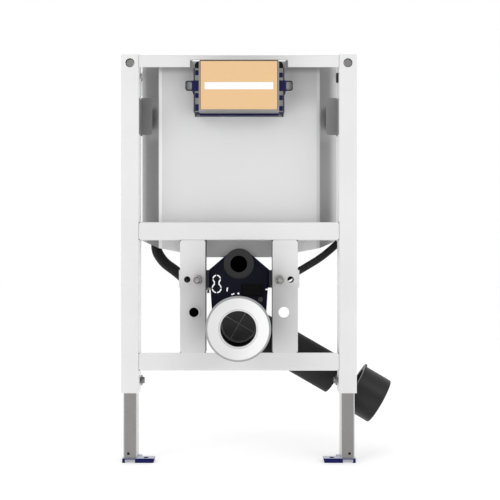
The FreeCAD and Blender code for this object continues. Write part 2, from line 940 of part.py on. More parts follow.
seal_front = -s["flush_reach"] - s["flush_lip"]
seal_back = seal_front + s["flush_seal_length"]
seal_seat = s["flush_radius"] + s["pipe_clearance"]
seal = turned("flush_ring", [
    (s["flush_seal_bore"], seal_front),
    (s["flush_seal"] - s["flush_seal_bevel"], seal_front),
    (s["flush_seal"], seal_front + s["flush_seal_bevel"]),
    (s["flush_seal"], seal_back),
    (seal_seat, seal_back),
    (seal_seat, -s["flush_reach"]),
    (s["flush_seal_bore"], -s["flush_reach"]),
])
keep(seal, "flush_seal", 0, 0, flush_height)

# Waste bend, drawn flat and then turned so that its outlet falls to the right

TURN = FreeCAD.Rotation(Y_AXIS, s["waste_angle"].value)
angle = math.radians(s["waste_angle"].value)
fall_cos = Size(math.cos(angle), "cos(Sizes.waste_angle)")
fall_sin = Size(math.sin(angle), "sin(Sizes.waste_angle)")


def waste_path(radius, reach):
    """The bend as a solid of one radius, in its own plane."""
    straight = s["waste_depth"] - s["waste_bend"] + reach
    inlet = rod(radius, straight, 0, -reach, 0, TO_Y)
    bend = elbow(radius, s["waste_bend"], s["waste_bend"],
                 s["waste_depth"] - s["waste_bend"], 0,
                 FreeCAD.Rotation(Z_AXIS, 90))
    outlet = rod(radius, s["waste_length"] - s["waste_bend"],
                 s["waste_bend"], s["waste_depth"], 0, TO_X)
    return [inlet, bend, outlet]


socket_start = s["waste_reach"] - s["ring_thickness"]
socket = rod(s["socket_radius"], s["socket_length"], 0, -socket_start, 0,
             TO_Y)
outer = join(socket, *waste_path(s["waste_radius"], socket_start))
inner = join(*waste_path(s["waste_radius"] - s["waste_wall"], socket_start))
plain = cut(outer, inner)
doc.recompute()
rounded = doc.addObject("Part::Fillet", "Rounded")
rounded.Base = plain
chosen = []
for n, edge in enumerate(plain.Shape.Edges, start=1):
    far = edge.CenterOfMass.x > s["waste_length"].value - 0.01
    if far and edge.Curve.Radius > s["waste_radius"].value - 0.01:
        chosen.append((n, s["outlet_round"].value, s["outlet_round"].value))
rounded.Edges = chosen
keep(rounded, "waste_bend", 0, 0, waste_height, TURN)

ring_front = -s["waste_reach"]
ring_back = ring_front + s["ring_thickness"]
edge = s["ring_radius"] - s["ring_face"]
ring = turned("mouth_ring", [
    (s["ring_bore"] + s["ring_chamfer"], ring_front),
    (s["ring_face"], ring_front),
    (s["ring_radius"], ring_front + edge),
    (s["ring_radius"], ring_back),
    (s["ring_bore"], ring_back),
    (s["ring_bore"], ring_front + s["ring_chamfer"]),
])
fillet(ring, round_edges_at(ring, ring_back, s["ring_radius"]), edge / 2)
keep(ring, "waste_ring", 0, 0, waste_height)

plug_radius = s["waste_radius"] - s["waste_wall"] - s["plug_clearance"]
plug_inner = plug_radius - s["plug_rim"]
plug_back = s["plug_depth"] + s["plug_thickness"]
cup = turned("plug_cup", [
    (0, s["plug_depth"]), (plug_inner, s["plug_depth"]),
    (plug_inner, s["plug_depth"] - s["plug_rim_height"]),
    (plug_radius, s["plug_depth"] - s["plug_rim_height"]),
    (plug_radius, plug_back), (0, plug_back),
])
long = 2 * plug_inner
thin = s["rib_thickness"]
rib_y = s["plug_depth"] - s["rib_height"]
plug = join(
    cup,
    box(long, s["rib_height"], thin, -plug_inner, rib_y, -thin / 2),
    box(thin, s["rib_height"], long, -thin / 2, rib_y, -plug_inner),
)
keep(plug, "waste_plug", 0, 0, waste_height, TURN)

# Loose adapter beyond the bend's outlet, turned a little, open through

adapter_start = s["waste_length"] + s["adapter_gap"]
adapter_inner = s["adapter_radius"] - s["adapter_wall"]
adapter_seat = s["waste_radius"] + s["hole_clearance"]
adapter = turned("adapter_shell", [
    (adapter_seat, 0), (s["adapter_lip"], 0),
    (s["adapter_lip"], s["adapter_lip_thickness"]),
    (s["adapter_radius"], s["adapter_lip_thickness"]),
    (s["adapter_radius"], s["adapter_length"]),
    (adapter_inner, s["adapter_length"]),
    (adapter_inner, s["adapter_lip_thickness"]),
    (adapter_seat, s["adapter_lip_thickness"]),
])
fillet(adapter,
       round_edges_at(adapter, s["adapter_length"], s["adapter_radius"]),
       s["adapter_edge"])
YAW = FreeCAD.Rotation(Z_AXIS, -s["adapter_yaw"].value)
yaw = math.radians(s["adapter_yaw"].value)
yaw_cos = Size(math.cos(yaw), "cos(Sizes.adapter_yaw)")
yaw_sin = Size(math.sin(yaw), "sin(Sizes.adapter_yaw)")
adapter_half = s["adapter_length"] / 2
adapter_middle = adapter_start + adapter_half
keep(adapter, "waste_adapter",
     adapter_middle * fall_cos - adapter_half * fall_cos * yaw_cos,
     s["waste_depth"] - s["adapter_forward"]
     + adapter_half * fall_cos * yaw_sin,
     waste_height - adapter_middle * fall_sin + adapter_half * fall_sin,
     YAW.multiply(TURN).multiply(FreeCAD.Rotation(Z_AXIS, -90)))

# Cistern: plan outline with slanted sides, lower edge falling to the middle

tank = body("cistern_shell")
plan = sketch_on(tank, "XY_Plane", s["tank_base"])
polygon(plan, [
    (-tank_front, s["tank_depth"]), (tank_front, s["tank_depth"]),
    (tank_rear, tank_side), (tank_rear, tank_back),
    (-tank_rear, tank_back), (-tank_rear, tank_side),
])
pad(tank, plan, s["tank_height"])
for side in (-1, 1):
    below = sketch_on(tank, "XZ_Plane", -tank_back - 1)
    base = s["tank_base"]
    polygon(below, [
        (side * s["tank_flat"], base - 1), (side * s["tank_flat"], base),
        (side * tank_front, base + s["tank_front_rise"]),
        (side * (tank_rear + 1), base + s["tank_rear_rise"]),
        (side * (tank_rear + 1), base - 1),
    ])
    pocket(tank, below, s["tank_thickness"] + 2, reverse=True)
fillet(tank, straight_edges(
    tank, Z_AXIS, lambda centre: centre.y < s["tank_depth"].value + 1
), s["tank_edge"])
fillet(tank, straight_edges(
    tank, Z_AXIS, lambda centre: centre.y > tank_side.value - 1
), s["tank_corner"])
top_level = (s["tank_base"] + s["tank_height"]).value - 0.01
fillet(tank, [
    f"Edge{n}" for n, edge in enumerate(tank.Shape.Edges, start=1)
    if edge.CenterOfMass.z > top_level
], s["tank_top_edge"])
channel = flush_solid(s["flush_radius"] + s["pipe_clearance"],
                      s["flush_reach"], s["flush_stub"])
port_x = tank_rear - s["port_inset"]
port_y = tank_back - s["port_depth"]
port_base = s["tank_base"] + s["tank_front_rise"] - s["port_cover"]
port = rod(s["conduit_radius"] + s["pipe_clearance"], s["port_length"],
           -port_x, port_y, port_base)
keep(cut(tank, join(*channel), port), "cistern")

# Access shaft on the cistern's front, with its cover

shaft = body("shaft_sleeve")
flange_front = s["tank_depth"] - s["shaft_sheet"]
sleeve_x = cover_x + s["sleeve_gap"] + s["sleeve_wall"]
sleeve_base = s["cover_lift"] - s["sleeve_gap"] - s["sleeve_wall"]
rack_x = sleeve_x + s["rack_width"]
spine_x = rack_x - s["rack_cheek"]
front_face = sketch_on(shaft, "XZ_Plane", 0)
rectangle(front_face, -sleeve_x, sleeve_base, 2 * sleeve_x,
          cover_top - sleeve_base)
pad(shaft, front_face, flange_front, reverse=True)
flange = sketch_on(shaft, "XZ_Plane", -flange_front)
rectangle(flange, -rack_x, sleeve_base - s["shaft_foot"], 2 * rack_x,
          cover_top - sleeve_base + s["shaft_foot"])
pad(shaft, flange, s["shaft_sheet"], reverse=True)
inside = sketch_on(shaft, "XZ_Plane", 1)
rectangle(inside, -cover_x - s["sleeve_gap"], s["cover_lift"]
          - s["sleeve_gap"], 2 * (cover_x + s["sleeve_gap"]),
          s["cover_height"] + s["sleeve_gap"] + 1)
pocket(shaft, inside, flange_front + 1)
latch_base = s["ear_lift"] - s["latch_drop"]
latch_top = latch_base + s["latch_height"]
hook_base = cover_top - s["hook_height"]
tooth_end = sleeve_x + s["tooth_width"]


def tooth_spans(side):
    """Base and height of each tooth; the right ones sit a little lower."""
    lower = s["tooth_offset"] if side > 0 else 0
    extra = 0 if side > 0 else s["tooth_offset"] - 1
    return [
        (sleeve_base + 1, s["tooth_height"] + extra),
        (sleeve_base + s["tooth_pitch"] - lower, s["tooth_height"]),
        (latch_top + s["tooth_lift"] - lower, s["tooth_height"]),
    ]


def upright_strip(part, side, y, near, far, low, high):
    """A rectangle in front view on one side of the centre line."""
    face = sketch_on(part, "XZ_Plane", -y)
    polygon(face, [
        (side * near, low), (side * far, low), (side * far, high),
        (side * near, high),
    ])
    return face


# a cheek on each side of the sleeve, with windows for the rack's teeth
for side in (-1, 1):
    cheek = upright_strip(shaft, side, s["rack_setback"], sleeve_x, rack_x,
                          sleeve_base, hook_base)
    pad(shaft, cheek, s["rack_face"], reverse=True)
    wall = upright_strip(shaft, side, s["rack_setback"], spine_x, rack_x,
                         sleeve_base, hook_base)
    pad(shaft, wall, flange_front - s["rack_setback"], reverse=True)
    for level, height in tooth_spans(side):
        window = upright_strip(shaft, side, s["rack_setback"] - 1, sleeve_x,
                               tooth_end, level, level + height)
        pocket(shaft, window, s["rack_face"] + 1)
    window = upright_strip(shaft, side, s["rack_setback"] - 1, sleeve_x,
                           rack_x + 1, latch_base, latch_top)
    pocket(shaft, window, flange_front - s["rack_setback"] + 1)
keep(shaft, "access_shaft")

sill = body("sill_strip")
under = sketch_on(sill, "XZ_Plane", -s["sleeve_depth"])
rectangle(under, -sleeve_x, sleeve_base - s["sill_height"], 2 * sleeve_x,
          s["sill_height"])
pad(sill, under, flange_front - s["sleeve_depth"], reverse=True)
keep(sill, "shaft_sill")

cover = body("access_cover")
face = sketch_on(cover, "XZ_Plane", 0)
rectangle(face, -cover_x, s["cover_lift"], s["cover_width"],
          s["cover_height"])
pad(cover, face, flange_front, reverse=True)
keep(cover, "access_cover")

stripe = body("cover_stripe")
face = sketch_on(stripe, "XZ_Plane", 0)
rectangle(face, -s["stripe_width"] / 2, s["stripe_lift"],
          s["stripe_width"], s["stripe_height"])
pad(stripe, face, s["stripe_thickness"])
keep(stripe, "cover_stripe")


def rack(name, side):
    """A spine behind the cheek, with teeth, a latch and a hook."""
    part = body(f"{name}_comb")
    gap = s["rack_gap"]
    near = sleeve_x + gap
    reach = flange_front - s["rack_setback"]
    spine = upright_strip(part, side, flange_front, near, spine_x - gap,
                          sleeve_base + 1, hook_base + 1)
    pad(part, spine, reach - s["rack_face"] - gap)
    for level, height in tooth_spans(side):
        tooth = upright_strip(part, side, flange_front, near, tooth_end - gap,
                              level + gap, level + height - gap)
        pad(part, tooth, reach + s["tooth_proud"])
    latch = upright_strip(part, side, flange_front, near,
                          rack_x + s["latch_reach"] - s["rack_cheek"],
                          latch_base + gap, latch_top - gap)
    pad(part, latch, reach + s["tooth_proud"])
    hook = upright_strip(part, side, flange_front, near,
                         sleeve_x + s["hook_width"], hook_base + gap, cover_top)
    pad(part, hook, reach)
    outer = number(sleeve_x + s["hook_width"])
    high = number(cover_top) - 1
    fillet(part, straight_edges(
        part, Y_AXIS,
        lambda at: abs(abs(at.x) - outer) < 0.1 and at.z > high
    ), s["hook_corner"])
    return keep(part, name)


rack("left_rack", -1)
rack("right_rack", 1)


def ear(name, side):
    """A tab with rounded outer corners, held by the latch."""
    part = body(f"{name}_tab")
    front = s["ear_depth"] + s["ear_sheet"]
    face = sketch_on(part, "XZ_Plane", -front)
    near = rack_x + s["latch_reach"] - s["rack_cheek"]
    far = near + s["ear_width"]
    polygon(face, [
        (side * near, s["ear_lift"]), (side * far, s["ear_lift"]),
        (side * far, s["ear_lift"] + s["ear_height"]),
        (side * near, s["ear_lift"] + s["ear_height"]),
    ])
    pad(part, face, s["ear_sheet"])
    fillet(part, straight_edges(
        part, Y_AXIS, lambda centre: abs(centre.x) > number(far) - 1
    ), s["ear_corner"])
    rim = s["ear_rim"]
    dish = upright_strip(part, side, s["ear_depth"], near + rim, far - rim,
                         s["ear_lift"] + rim,
                         s["ear_lift"] + s["ear_height"] - rim)
    pocket(part, dish, s["ear_dish"])
    bottom = number(s["ear_depth"] + s["ear_dish"] / 2)
    inner = number(far - rim)
    fillet(part, straight_edges(
        part, Y_AXIS,
        lambda at: abs(abs(at.x) - inner) < 0.1 and abs(at.y - bottom) < 0.1
    ), s["ear_corner"] - rim)
    return keep(part, name)


ear("left_ear", -1)
ear("right_ear", 1)

# Sheet brackets from the uprights to the cistern's sides, and small clips

slope = (tank_rear - tank_front) / s["tank_side_depth"]


def side_bracket(name, side):
    """Bent sheet: a cheek on the upright, a tab, a flange to the cistern."""
    part = body(f"{name}_sheet")
    tip = inner_x - s["side_bracket_width"]
    sheet_t = s["side_bracket_sheet"]
    front = s["profile"] - sheet_t
    low = s["side_bracket_lift"]
    high = low + s["side_bracket_height"]
    tab = sketch_on(part, "XZ_Plane", -front)
    polygon(tab, [
        (side * inner_x, low), (side * tip, low), (side * tip, high),
        (side * inner_x, high),
    ])
    pad(part, tab, sheet_t, reverse=True)
    fillet(part, straight_edges(
        part, Y_AXIS, lambda centre: abs(centre.x) < number(tip) + 1
    ), s["side_bracket_corner"])
    cheek = sketch_on(part, "YZ_Plane", side * inner_x)
    rectangle(cheek, sheet_t, s["side_bracket_cheek_lift"],
              s["profile"] - sheet_t, s["side_bracket_cheek"])
    pad(part, cheek, sheet_t, reverse=(side > 0))
    slot = sketch_on(part, "YZ_Plane", side * inner_x)
    rectangle(slot, front - sheet_t - s["side_bracket_slot_width"],
              s["side_bracket_cheek_lift"]
              + (s["side_bracket_cheek"] - s["side_bracket_slot"]) / 2,
              s["side_bracket_slot_width"], s["side_bracket_slot"])
    pocket(part, slot, 2 * sheet_t, reverse=(side < 0))
    flange_low = low + (s["side_bracket_height"]
                        - s["side_bracket_flange"]) / 2
    drawing = sketch_on(part, "XY_Plane", flange_low)
    web = tip + s["side_bracket_flange_inset"]
    near = s["tank_depth"] + (web - tank_front) / slope
    far = s["tank_depth"] + (web + sheet_t - tank_front) / slope
    polygon(drawing, [
        (side * web, s["profile"]), (side * (web + sheet_t), s["profile"]),
        (side * (web + sheet_t), far), (side * web, near),
    ])
    pad(part, drawing, s["side_bracket_flange"])
    return keep(part, name)


def clip(name, side, height):
    x = inner_x - s["clip_width"] if side > 0 else -inner_x
    solid = box(s["clip_width"], s["clip_depth"], height)
    groove = box(s["clip_width"], s["clip_groove"], s["clip_groove"], 0, 0,
                 (height - s["clip_groove"]) / 2)
    return keep(cut(solid, groove), name, x, s["clip_depth"],
                s["clip_top"] - height)


for name, side in (("left", -1), ("right", 1)):
    side_bracket(f"{name}_side_bracket", side)
    clip(f"{name}_clip", side,
         s["clip_height"] if side < 0 else s["long_clip_height"])

# Wall anchors: a rod through each upright's rear wall and a plate on the wall

def anchor_rod(name, side):
    x = side * upright_x
    inside = s["profile"] - s["tube_wall"]
    spacer_front = inside - s["anchor_spacer_length"]
    front = spacer_front - s["anchor_head_thickness"]
    back = s["wall_distance"] - s["anchor_plate_sheet"]
    shank = rod(s["anchor_rod"], back - inside, x, inside, anchor_height, TO_Y)
    head = rod(s["anchor_head"], s["anchor_head_thickness"], x, front,
               anchor_height, TO_Y)
    spacer = rod(s["anchor_spacer"], s["anchor_spacer_length"], x,
                 spacer_front, anchor_height, TO_Y)
    nut = hexagon(s["anchor_nut"], s["anchor_nut_thickness"], x,
                  s["profile"], anchor_height, TO_Y)
    return keep(join(shank, head, spacer, nut), name)


def wall_plate(name, side):
    part = body(name)
    drawing = sketch_on(part, "XZ_Plane", -s["wall_distance"])
    low = screw_height - s["anchor_plate_width"] / 2
    rectangle(drawing, side * upright_x - s["anchor_plate_width"] / 2, low,
              s["anchor_plate_width"], s["anchor_plate_height"])
    circle(drawing, side * upright_x, screw_height, s["anchor_screw_hole"])
    pad(part, drawing, s["anchor_plate_sheet"])
    fillet(part, straight_edges(part, Y_AXIS, lambda centre: True),
           s["anchor_plate_corner"])
    return keep(part, name)


for name, side in (("left", -1), ("right", 1)):
    anchor_rod(f"{name}_anchor_rod", side)
    wall_plate(f"{name}_wall_plate", side)

# Legs that slide in the uprights, their feet, and the bolts that clamp them

def leg(name, side):
    left = side * upright_x - leg_side / 2
    part = tube(
        name, "XY_Plane", leg_side, leg_side, s["leg_wall"],
        s["leg_corner"], s["leg_length"], s["foot_height"], left, leg_inset,
    )
    pin = sketch_on(part, "XZ_Plane", 0)
    circle(pin, side * (upright_x + s["leg_pin_outset"]), s["leg_pin_lift"], s["leg_pin_hole"])
    pocket(part, pin, s["profile"] / 2)
    return keep(part, name)


def foot_plate(name, side):
    """A shallow stamping: top sheet, lips turned down, a gap under the leg."""
    part = body(name)
    out = half_width - s["foot_outset"]
    tip = out - s["foot_width"]
    step = out - s["profile"]
    sheet_t = s["foot_sheet"]
    back = s["profile"] - leg_inset
    drawing = sketch_on(part, "XY_Plane", 0)
    polygon(drawing, [
        (side * out, 0), (side * out, back),
        (side * step, back), (side * step, s["foot_ledge"]),
        (side * tip, s["foot_ledge"]), (side * tip, 0),
    ])
    pad(part, drawing, s["foot_height"])
    hollow = sketch_on(part, "XY_Plane", -1)
    polygon(hollow, [
        (side * (out - sheet_t), sheet_t),
        (side * (out - sheet_t), back + 1),
        (side * (step + sheet_t), back + 1),
        (side * (step + sheet_t), s["foot_ledge"] - sheet_t),
        (side * (tip + sheet_t), s["foot_ledge"] - sheet_t),
        (side * (tip + sheet_t), sheet_t),
    ])
    pocket(part, hollow, s["foot_height"] - sheet_t + 1, reverse=True)
    gap = sketch_on(part, "XZ_Plane", 1)
    width = s["foot_gap"]
    slant = s["foot_slant"]
    under = s["foot_height"] - sheet_t
    inner = side * (out - s["foot_gap_inset"] - width)
    outer = side * (out - s["foot_gap_inset"])
    polygon(gap, [
        (inner, -1), (outer - side * slant, -1), (outer, under), (inner, under),
    ])
    pocket(part, gap, sheet_t + 2)
    end = sketch_on(part, "XZ_Plane", 1)
    polygon(end, [
        (side * (tip - 1), -1), (side * (tip + slant), -1),
        (side * tip, under), (side * (tip - 1), under),
    ])
    pocket(part, end, s["foot_ledge"] + 2)
    hole = sketch_on(part, "XY_Plane", 0)
    circle(hole, side * (upright_x - s["foot_hole_inset"]),
           s["foot_ledge"] / 2 - 2, s["foot_hole"])
    pocket(part, hole, s["foot_height"] + 1, reverse=True)
    return keep(part, name)


def clamp_bolt(name, side):
    """Drawn along -X from the inner face of the right upright."""
    turn = FreeCAD.Rotation(Y_AXIS, -90 if side > 0 else 90)
    wall = s["tube_wall"]
    y = s["profile"] / 2
    z = s["clamp_lift"]
    at = side * inner_x
    inside = wall + s["leg_clearance"] - s["clamp_clearance"]
    start = side * (inner_x + inside)
    collar_end = side * (inner_x - s["clamp_collar_length"])
    washer_end = side * (
        inner_x - s["clamp_collar_length"] - s["clamp_washer_thickness"]
    )
    shank = rod(s["clamp_shank"], inside + s["clamp_collar_length"], start, y,
                z, turn)
    collar = rod(s["clamp_collar"], s["clamp_collar_length"], at, y, z, turn)
    washer = rod(s["clamp_washer"], s["clamp_washer_thickness"], collar_end,
                 y, z, turn)
    head = hexagon(s["clamp_head"], s["clamp_head_height"], washer_end, y, z,
                   turn)
    return keep(join(shank, collar, washer, head), name)


for name, side in (("left", -1), ("right", 1)):
    leg(f"{name}_leg", side)
    foot_plate(f"{name}_foot", side)
    clamp_bolt(f"{name}_clamp_bolt", side)

# Conduit and supply hose: straight runs joined by arcs

def bent_path(points):
    """Edges through points, each corner rounded by 0.45 of its shorter run."""
    corners = [FreeCAD.Vector(*p) for p in points]
    edges = []
    start = corners[0]
    for n in range(1, len(corners) - 1):
        before = corners[n - 1] - corners[n]
        after = corners[n + 1] - corners[n]
        shorter = min(before.Length, after.Length)
        half_turn = (math.pi - before.getAngle(after)) / 2
        reach = 0.45 * shorter
        radius = reach / math.tan(half_turn)
        one = corners[n] + before.normalize() * reach
        two = corners[n] + after.normalize() * reach
        middle = before + after
        middle.normalize()
        gap = radius / math.cos(half_turn) - radius
        edges.append(Part.LineSegment(start, one).toShape())
        edges.append(Part.Arc(one, corners[n] + middle * gap, two).toShape())
        print(f"bend radius {radius:.0f}")
        start = two
    edges.append(Part.LineSegment(start, corners[-1]).toShape())
    return Part.Wire(edges)


def swept(path, radius):
    """A round section taken along a path."""
    first = path.Edges[0]
    start = first.Vertexes[0].Point
    along = first.tangentAt(first.FirstParameter)
    section = Part.Wire(Part.makeCircle(radius, start, along))
    return path.makePipeShell([section], True, False)


def laid(name, shape):
    part = doc.addObject("Part::Feature", name)
    part.Shape = shape
    return keep(part, name)


# the conduit: from its port in the cistern's underside, behind the left
# plate and forwards to the hole in it. A point's place is given as shares:
# of the way across from hole to port, of the depth between them, and of the
# drop from port to hole.
port_x = port_x.value
port_y = port_y.value
port_top = port_base.value + s["port_length"].value - 1
mouth_x = s["pipe_hole_x"].value
mouth_z = s["pipe_hole_height"].value
wall_y = s["plate_sheet"].value
behind = (crossbar_back + s["stud_nut_height"] + s["stud_tail"]).value
behind += s["conduit_radius"].value + 2
drop = port_base.value - mouth_z


def conduit_point(across, deeper, down):
    return (-mouth_x - across * (port_x - mouth_x),
            behind + deeper * (port_y - behind),
            port_base.value - down * drop)


conduit_path = bent_path([
    (-port_x, port_y, port_top),
    conduit_point(1, 1, 0.03),
    conduit_point(0.8, 0.77, 0.22),
    conduit_point(0.45, 0.23, 0.38),
    conduit_point(0.12, 0, 0.58),
    (-mouth_x, behind - 2, mouth_z + 0.19 * drop),
    (-mouth_x, wall_y + 0.54 * (behind - wall_y), mouth_z),
    (-mouth_x, wall_y, mouth_z),
])
pipe_outer = s["conduit_radius"].value
pipe_inner = pipe_outer - s["conduit_wall"].value
laid("conduit", swept(conduit_path, pipe_outer).cut(
    swept(conduit_path, pipe_inner)
))

# the hose: from behind the right plate, below the cistern's underside, up to
# its clip on the right upright. A point's place is given as a share of the
# way across and as a height above the cistern's lowest level.
hose_r = s["hose_radius"].value
hose_y = crossbar_back.value + hose_r + s["seat_clearance"].value
hose_start = mouth_x + s["hose_inset"].value
hose_span = upright_x.value + s["hose_outset"].value - hose_start
hose_top = s["hose_clip_lift"].value + 2 * s["hose_clip_length"].value
tank_low = s["tank_base"].value


def hose_point(across, above):
    return (hose_start + across * hose_span, hose_y, tank_low + above)


hose_path = bent_path([
    hose_point(0, -49), hose_point(0.24, -30.468), hose_point(0.57, -3.08),
    hose_point(0.8, 23.16), hose_point(1, 51.04),
    hose_point(1, hose_top - tank_low),
])
laid("supply_hose", swept(hose_path, hose_r))

clip_z = s["hose_clip_lift"]
clip_y = crossbar_back + s["hose_radius"] + s["seat_clearance"]
clip_r = s["hose_radius"] + s["seat_clearance"]
clip_long = s["hose_clip_length"]
keep(cut(
    join(
        rod(clip_r + s["hose_clip_wall"], clip_long, upright_x + s["hose_outset"], clip_y,
            clip_z),
        box(2 * s["hose_clip_wall"], clip_y - s["profile"] - clip_r,
            clip_long,
            upright_x + s["hose_outset"] - s["hose_clip_wall"], s["profile"],
            clip_z),
    ),
    rod(clip_r, clip_long, upright_x + s["hose_outset"], clip_y, clip_z),
), "hose_clip")

collar = s["pipe_hole"] - s["seat_clearance"]
bore = s["conduit_radius"] - s["conduit_wall"]
keep(cut(
    join(
        rod(s["grommet_radius"], s["grommet_thickness"], -s["pipe_hole_x"],
            -s["grommet_thickness"], s["pipe_hole_height"], TO_Y),
        rod(collar, s["plate_sheet"], -s["pipe_hole_x"], 0,
            s["pipe_hole_height"], TO_Y),
    ),
    rod(bore, s["grommet_thickness"] + s["plate_sheet"],
        -s["pipe_hole_x"], -s["grommet_thickness"], s["pipe_hole_height"],
        TO_Y),
    box(s["grommet_notch"], s["grommet_thickness"] / 2,
        2 * s["grommet_radius"],
        -s["pipe_hole_x"] - s["grommet_notch"] / 2,
        -s["grommet_thickness"],
        s["pipe_hole_height"] - s["grommet_radius"]),
), "conduit_grommet")

# Check every object, then write one file for each piece

doc.recompute()
bad = []
for thing in doc.Objects:
    if "Invalid" in thing.State or "Error" in thing.State:
        bad.append(f"{thing.Label}: {thing.State}")
for thing in nodes:
    if thing.Shape.isNull() or not thing.Shape.isValid():
        bad.append(f"{thing.Label}: no valid shape")
    elif len(thing.Shape.Solids) != 1:
        bad.append(f"{thing.Label}: {len(thing.Shape.Solids)} solids")
if bad:
    raise RuntimeError("; ".join(bad))
for thing in nodes:
    thing.Shape.exportStep(f"parts/{thing.Label}.step")
    box_of = thing.Shape.BoundBox
    print(
        f"{thing.Label}: {thing.Shape.Volume / 1000:.1f} cm3, "
        f"x {box_of.XMin:.1f} {box_of.XMax:.1f}, "
        f"y {box_of.YMin:.1f} {box_of.YMax:.1f}, "
        f"z {box_of.ZMin:.1f} {box_of.ZMax:.1f}"
    )
print(len(nodes), "pieces")
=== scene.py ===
# %% [markdown]
# # Wall hung toilet frame
# A white steel frame carries a slim cistern, a flush pipe, a waste bend and the
# studs for a toilet pan. The CAD model gives every piece its true shape and place.
# Blender adds what CAD leaves out: threads, weld beads, edges that catch the light,
# and the finish of each material. All is in metres, in the CAD model's frame.

import json
import math

import bmesh
import bpy
from mathutils import Matrix, Vector


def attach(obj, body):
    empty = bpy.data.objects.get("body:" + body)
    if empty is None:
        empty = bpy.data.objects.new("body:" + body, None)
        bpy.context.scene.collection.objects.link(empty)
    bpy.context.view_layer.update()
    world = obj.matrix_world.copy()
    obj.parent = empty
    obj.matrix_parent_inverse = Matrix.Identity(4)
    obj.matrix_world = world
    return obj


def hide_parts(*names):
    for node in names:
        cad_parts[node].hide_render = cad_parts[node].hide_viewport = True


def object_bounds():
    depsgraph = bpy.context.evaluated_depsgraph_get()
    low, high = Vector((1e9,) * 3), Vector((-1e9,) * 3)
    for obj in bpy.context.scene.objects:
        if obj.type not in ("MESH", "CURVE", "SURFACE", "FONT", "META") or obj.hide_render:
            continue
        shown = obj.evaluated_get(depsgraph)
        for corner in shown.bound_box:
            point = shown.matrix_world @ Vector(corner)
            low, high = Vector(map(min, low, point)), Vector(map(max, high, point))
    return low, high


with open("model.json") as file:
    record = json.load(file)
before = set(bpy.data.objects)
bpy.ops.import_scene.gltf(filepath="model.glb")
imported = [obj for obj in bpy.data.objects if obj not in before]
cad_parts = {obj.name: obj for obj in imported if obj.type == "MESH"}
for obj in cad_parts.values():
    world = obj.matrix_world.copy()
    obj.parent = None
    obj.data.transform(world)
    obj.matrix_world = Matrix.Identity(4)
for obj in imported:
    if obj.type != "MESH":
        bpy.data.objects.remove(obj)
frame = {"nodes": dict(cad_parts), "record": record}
cad_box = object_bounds()
nodes = frame["nodes"]
MM = 0.001
print(len(nodes), "pieces,", [round(s, 3) for s in cad_box[1] - cad_box[0]], "m")

# %% [markdown]
# ## Camera
# The photo looks straight at the front of the frame from about knee height, from
# 1.75 m away and a little to the right. A lens is chosen by its angle: an object
# 787 mm wide at 1.75 m would fill 354 of the photo's 500 pixels, which is the same
# as 56.7 mm on a sensor 36 mm wide. The camera looks level, so uprights stay upright.

# %% Place the camera
SENSOR = 36
PHOTO_WIDTH = 500
FOCAL_PIXELS = 787

camera_data = bpy.data.cameras.new("photo_camera")
camera_data.sensor_width = SENSOR
camera_data.lens = SENSOR * FOCAL_PIXELS / PHOTO_WIDTH
camera = bpy.data.objects.new("photo_camera", camera_data)
camera.location = (0.2671, -1.925, -0.3714)
camera.rotation_euler = (math.radians(90), 0, 0)
bpy.context.scene.collection.objects.link(camera)
bpy.context.scene.camera = camera
print("lens", round(camera_data.lens, 1), "mm")

# %% [markdown]
# ## Measures from the frame
# The pieces were drawn from three datums: the centre line across, the front of the
# uprights in depth, and the floor in height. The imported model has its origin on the
# wall instead, so `spot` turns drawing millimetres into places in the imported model.
# Places that several pieces share have names: those in X are measured from the centre
# line and those in Z from the floor.

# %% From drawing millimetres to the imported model
CENTRE, FRONT, FLOOR = 242.5, -175.0, -845.0
STUD_X, STUD_Z = 90, 408


def spot(x, y, z):
    return Vector((x + CENTRE, y + FRONT, z + FLOOR)) * MM


print("pan studs at", [round(v, 4) for v in spot(STUD_X, -52, STUD_Z)])

# %% [markdown]
# ## Shader maths as Python
# A shader node tree is a sum written as boxes and wires. `Wire` lets the same sum be
# written as a line of Python: each operator adds one Math node and gives its output.
# `Finish` is one material. Its `node` method makes any other node: the settings come
# first, because a setting can change which sockets the node has.

# %% One wire of a shader
class Wire:
    """The output of a node, which takes +, - and * like a number."""

    def __init__(self, finish, socket):
        self.finish = finish
        self.socket = socket

    def maths(self, operation, *terms):
        return self.finish.node("Math", {"operation": operation}, dict(enumerate(terms)))

    def __add__(self, other):
        return self.maths("ADD", self, other)

    def __sub__(self, other):
        return self.maths("SUBTRACT", self, other)

    def __rsub__(self, other):
        return self.maths("SUBTRACT", other, self)

    def __mul__(self, other):
        return self.maths("MULTIPLY", self, other)

    def __abs__(self):
        return self.maths("ABSOLUTE", self)

    def __pow__(self, other):
        return self.maths("POWER", self, other)

    def either(self, other):
        """The larger of two masks."""
        return self.maths("MAXIMUM", self, other)

    __radd__ = __add__
    __rmul__ = __mul__


print("a wire takes +, -, *, ** and abs")


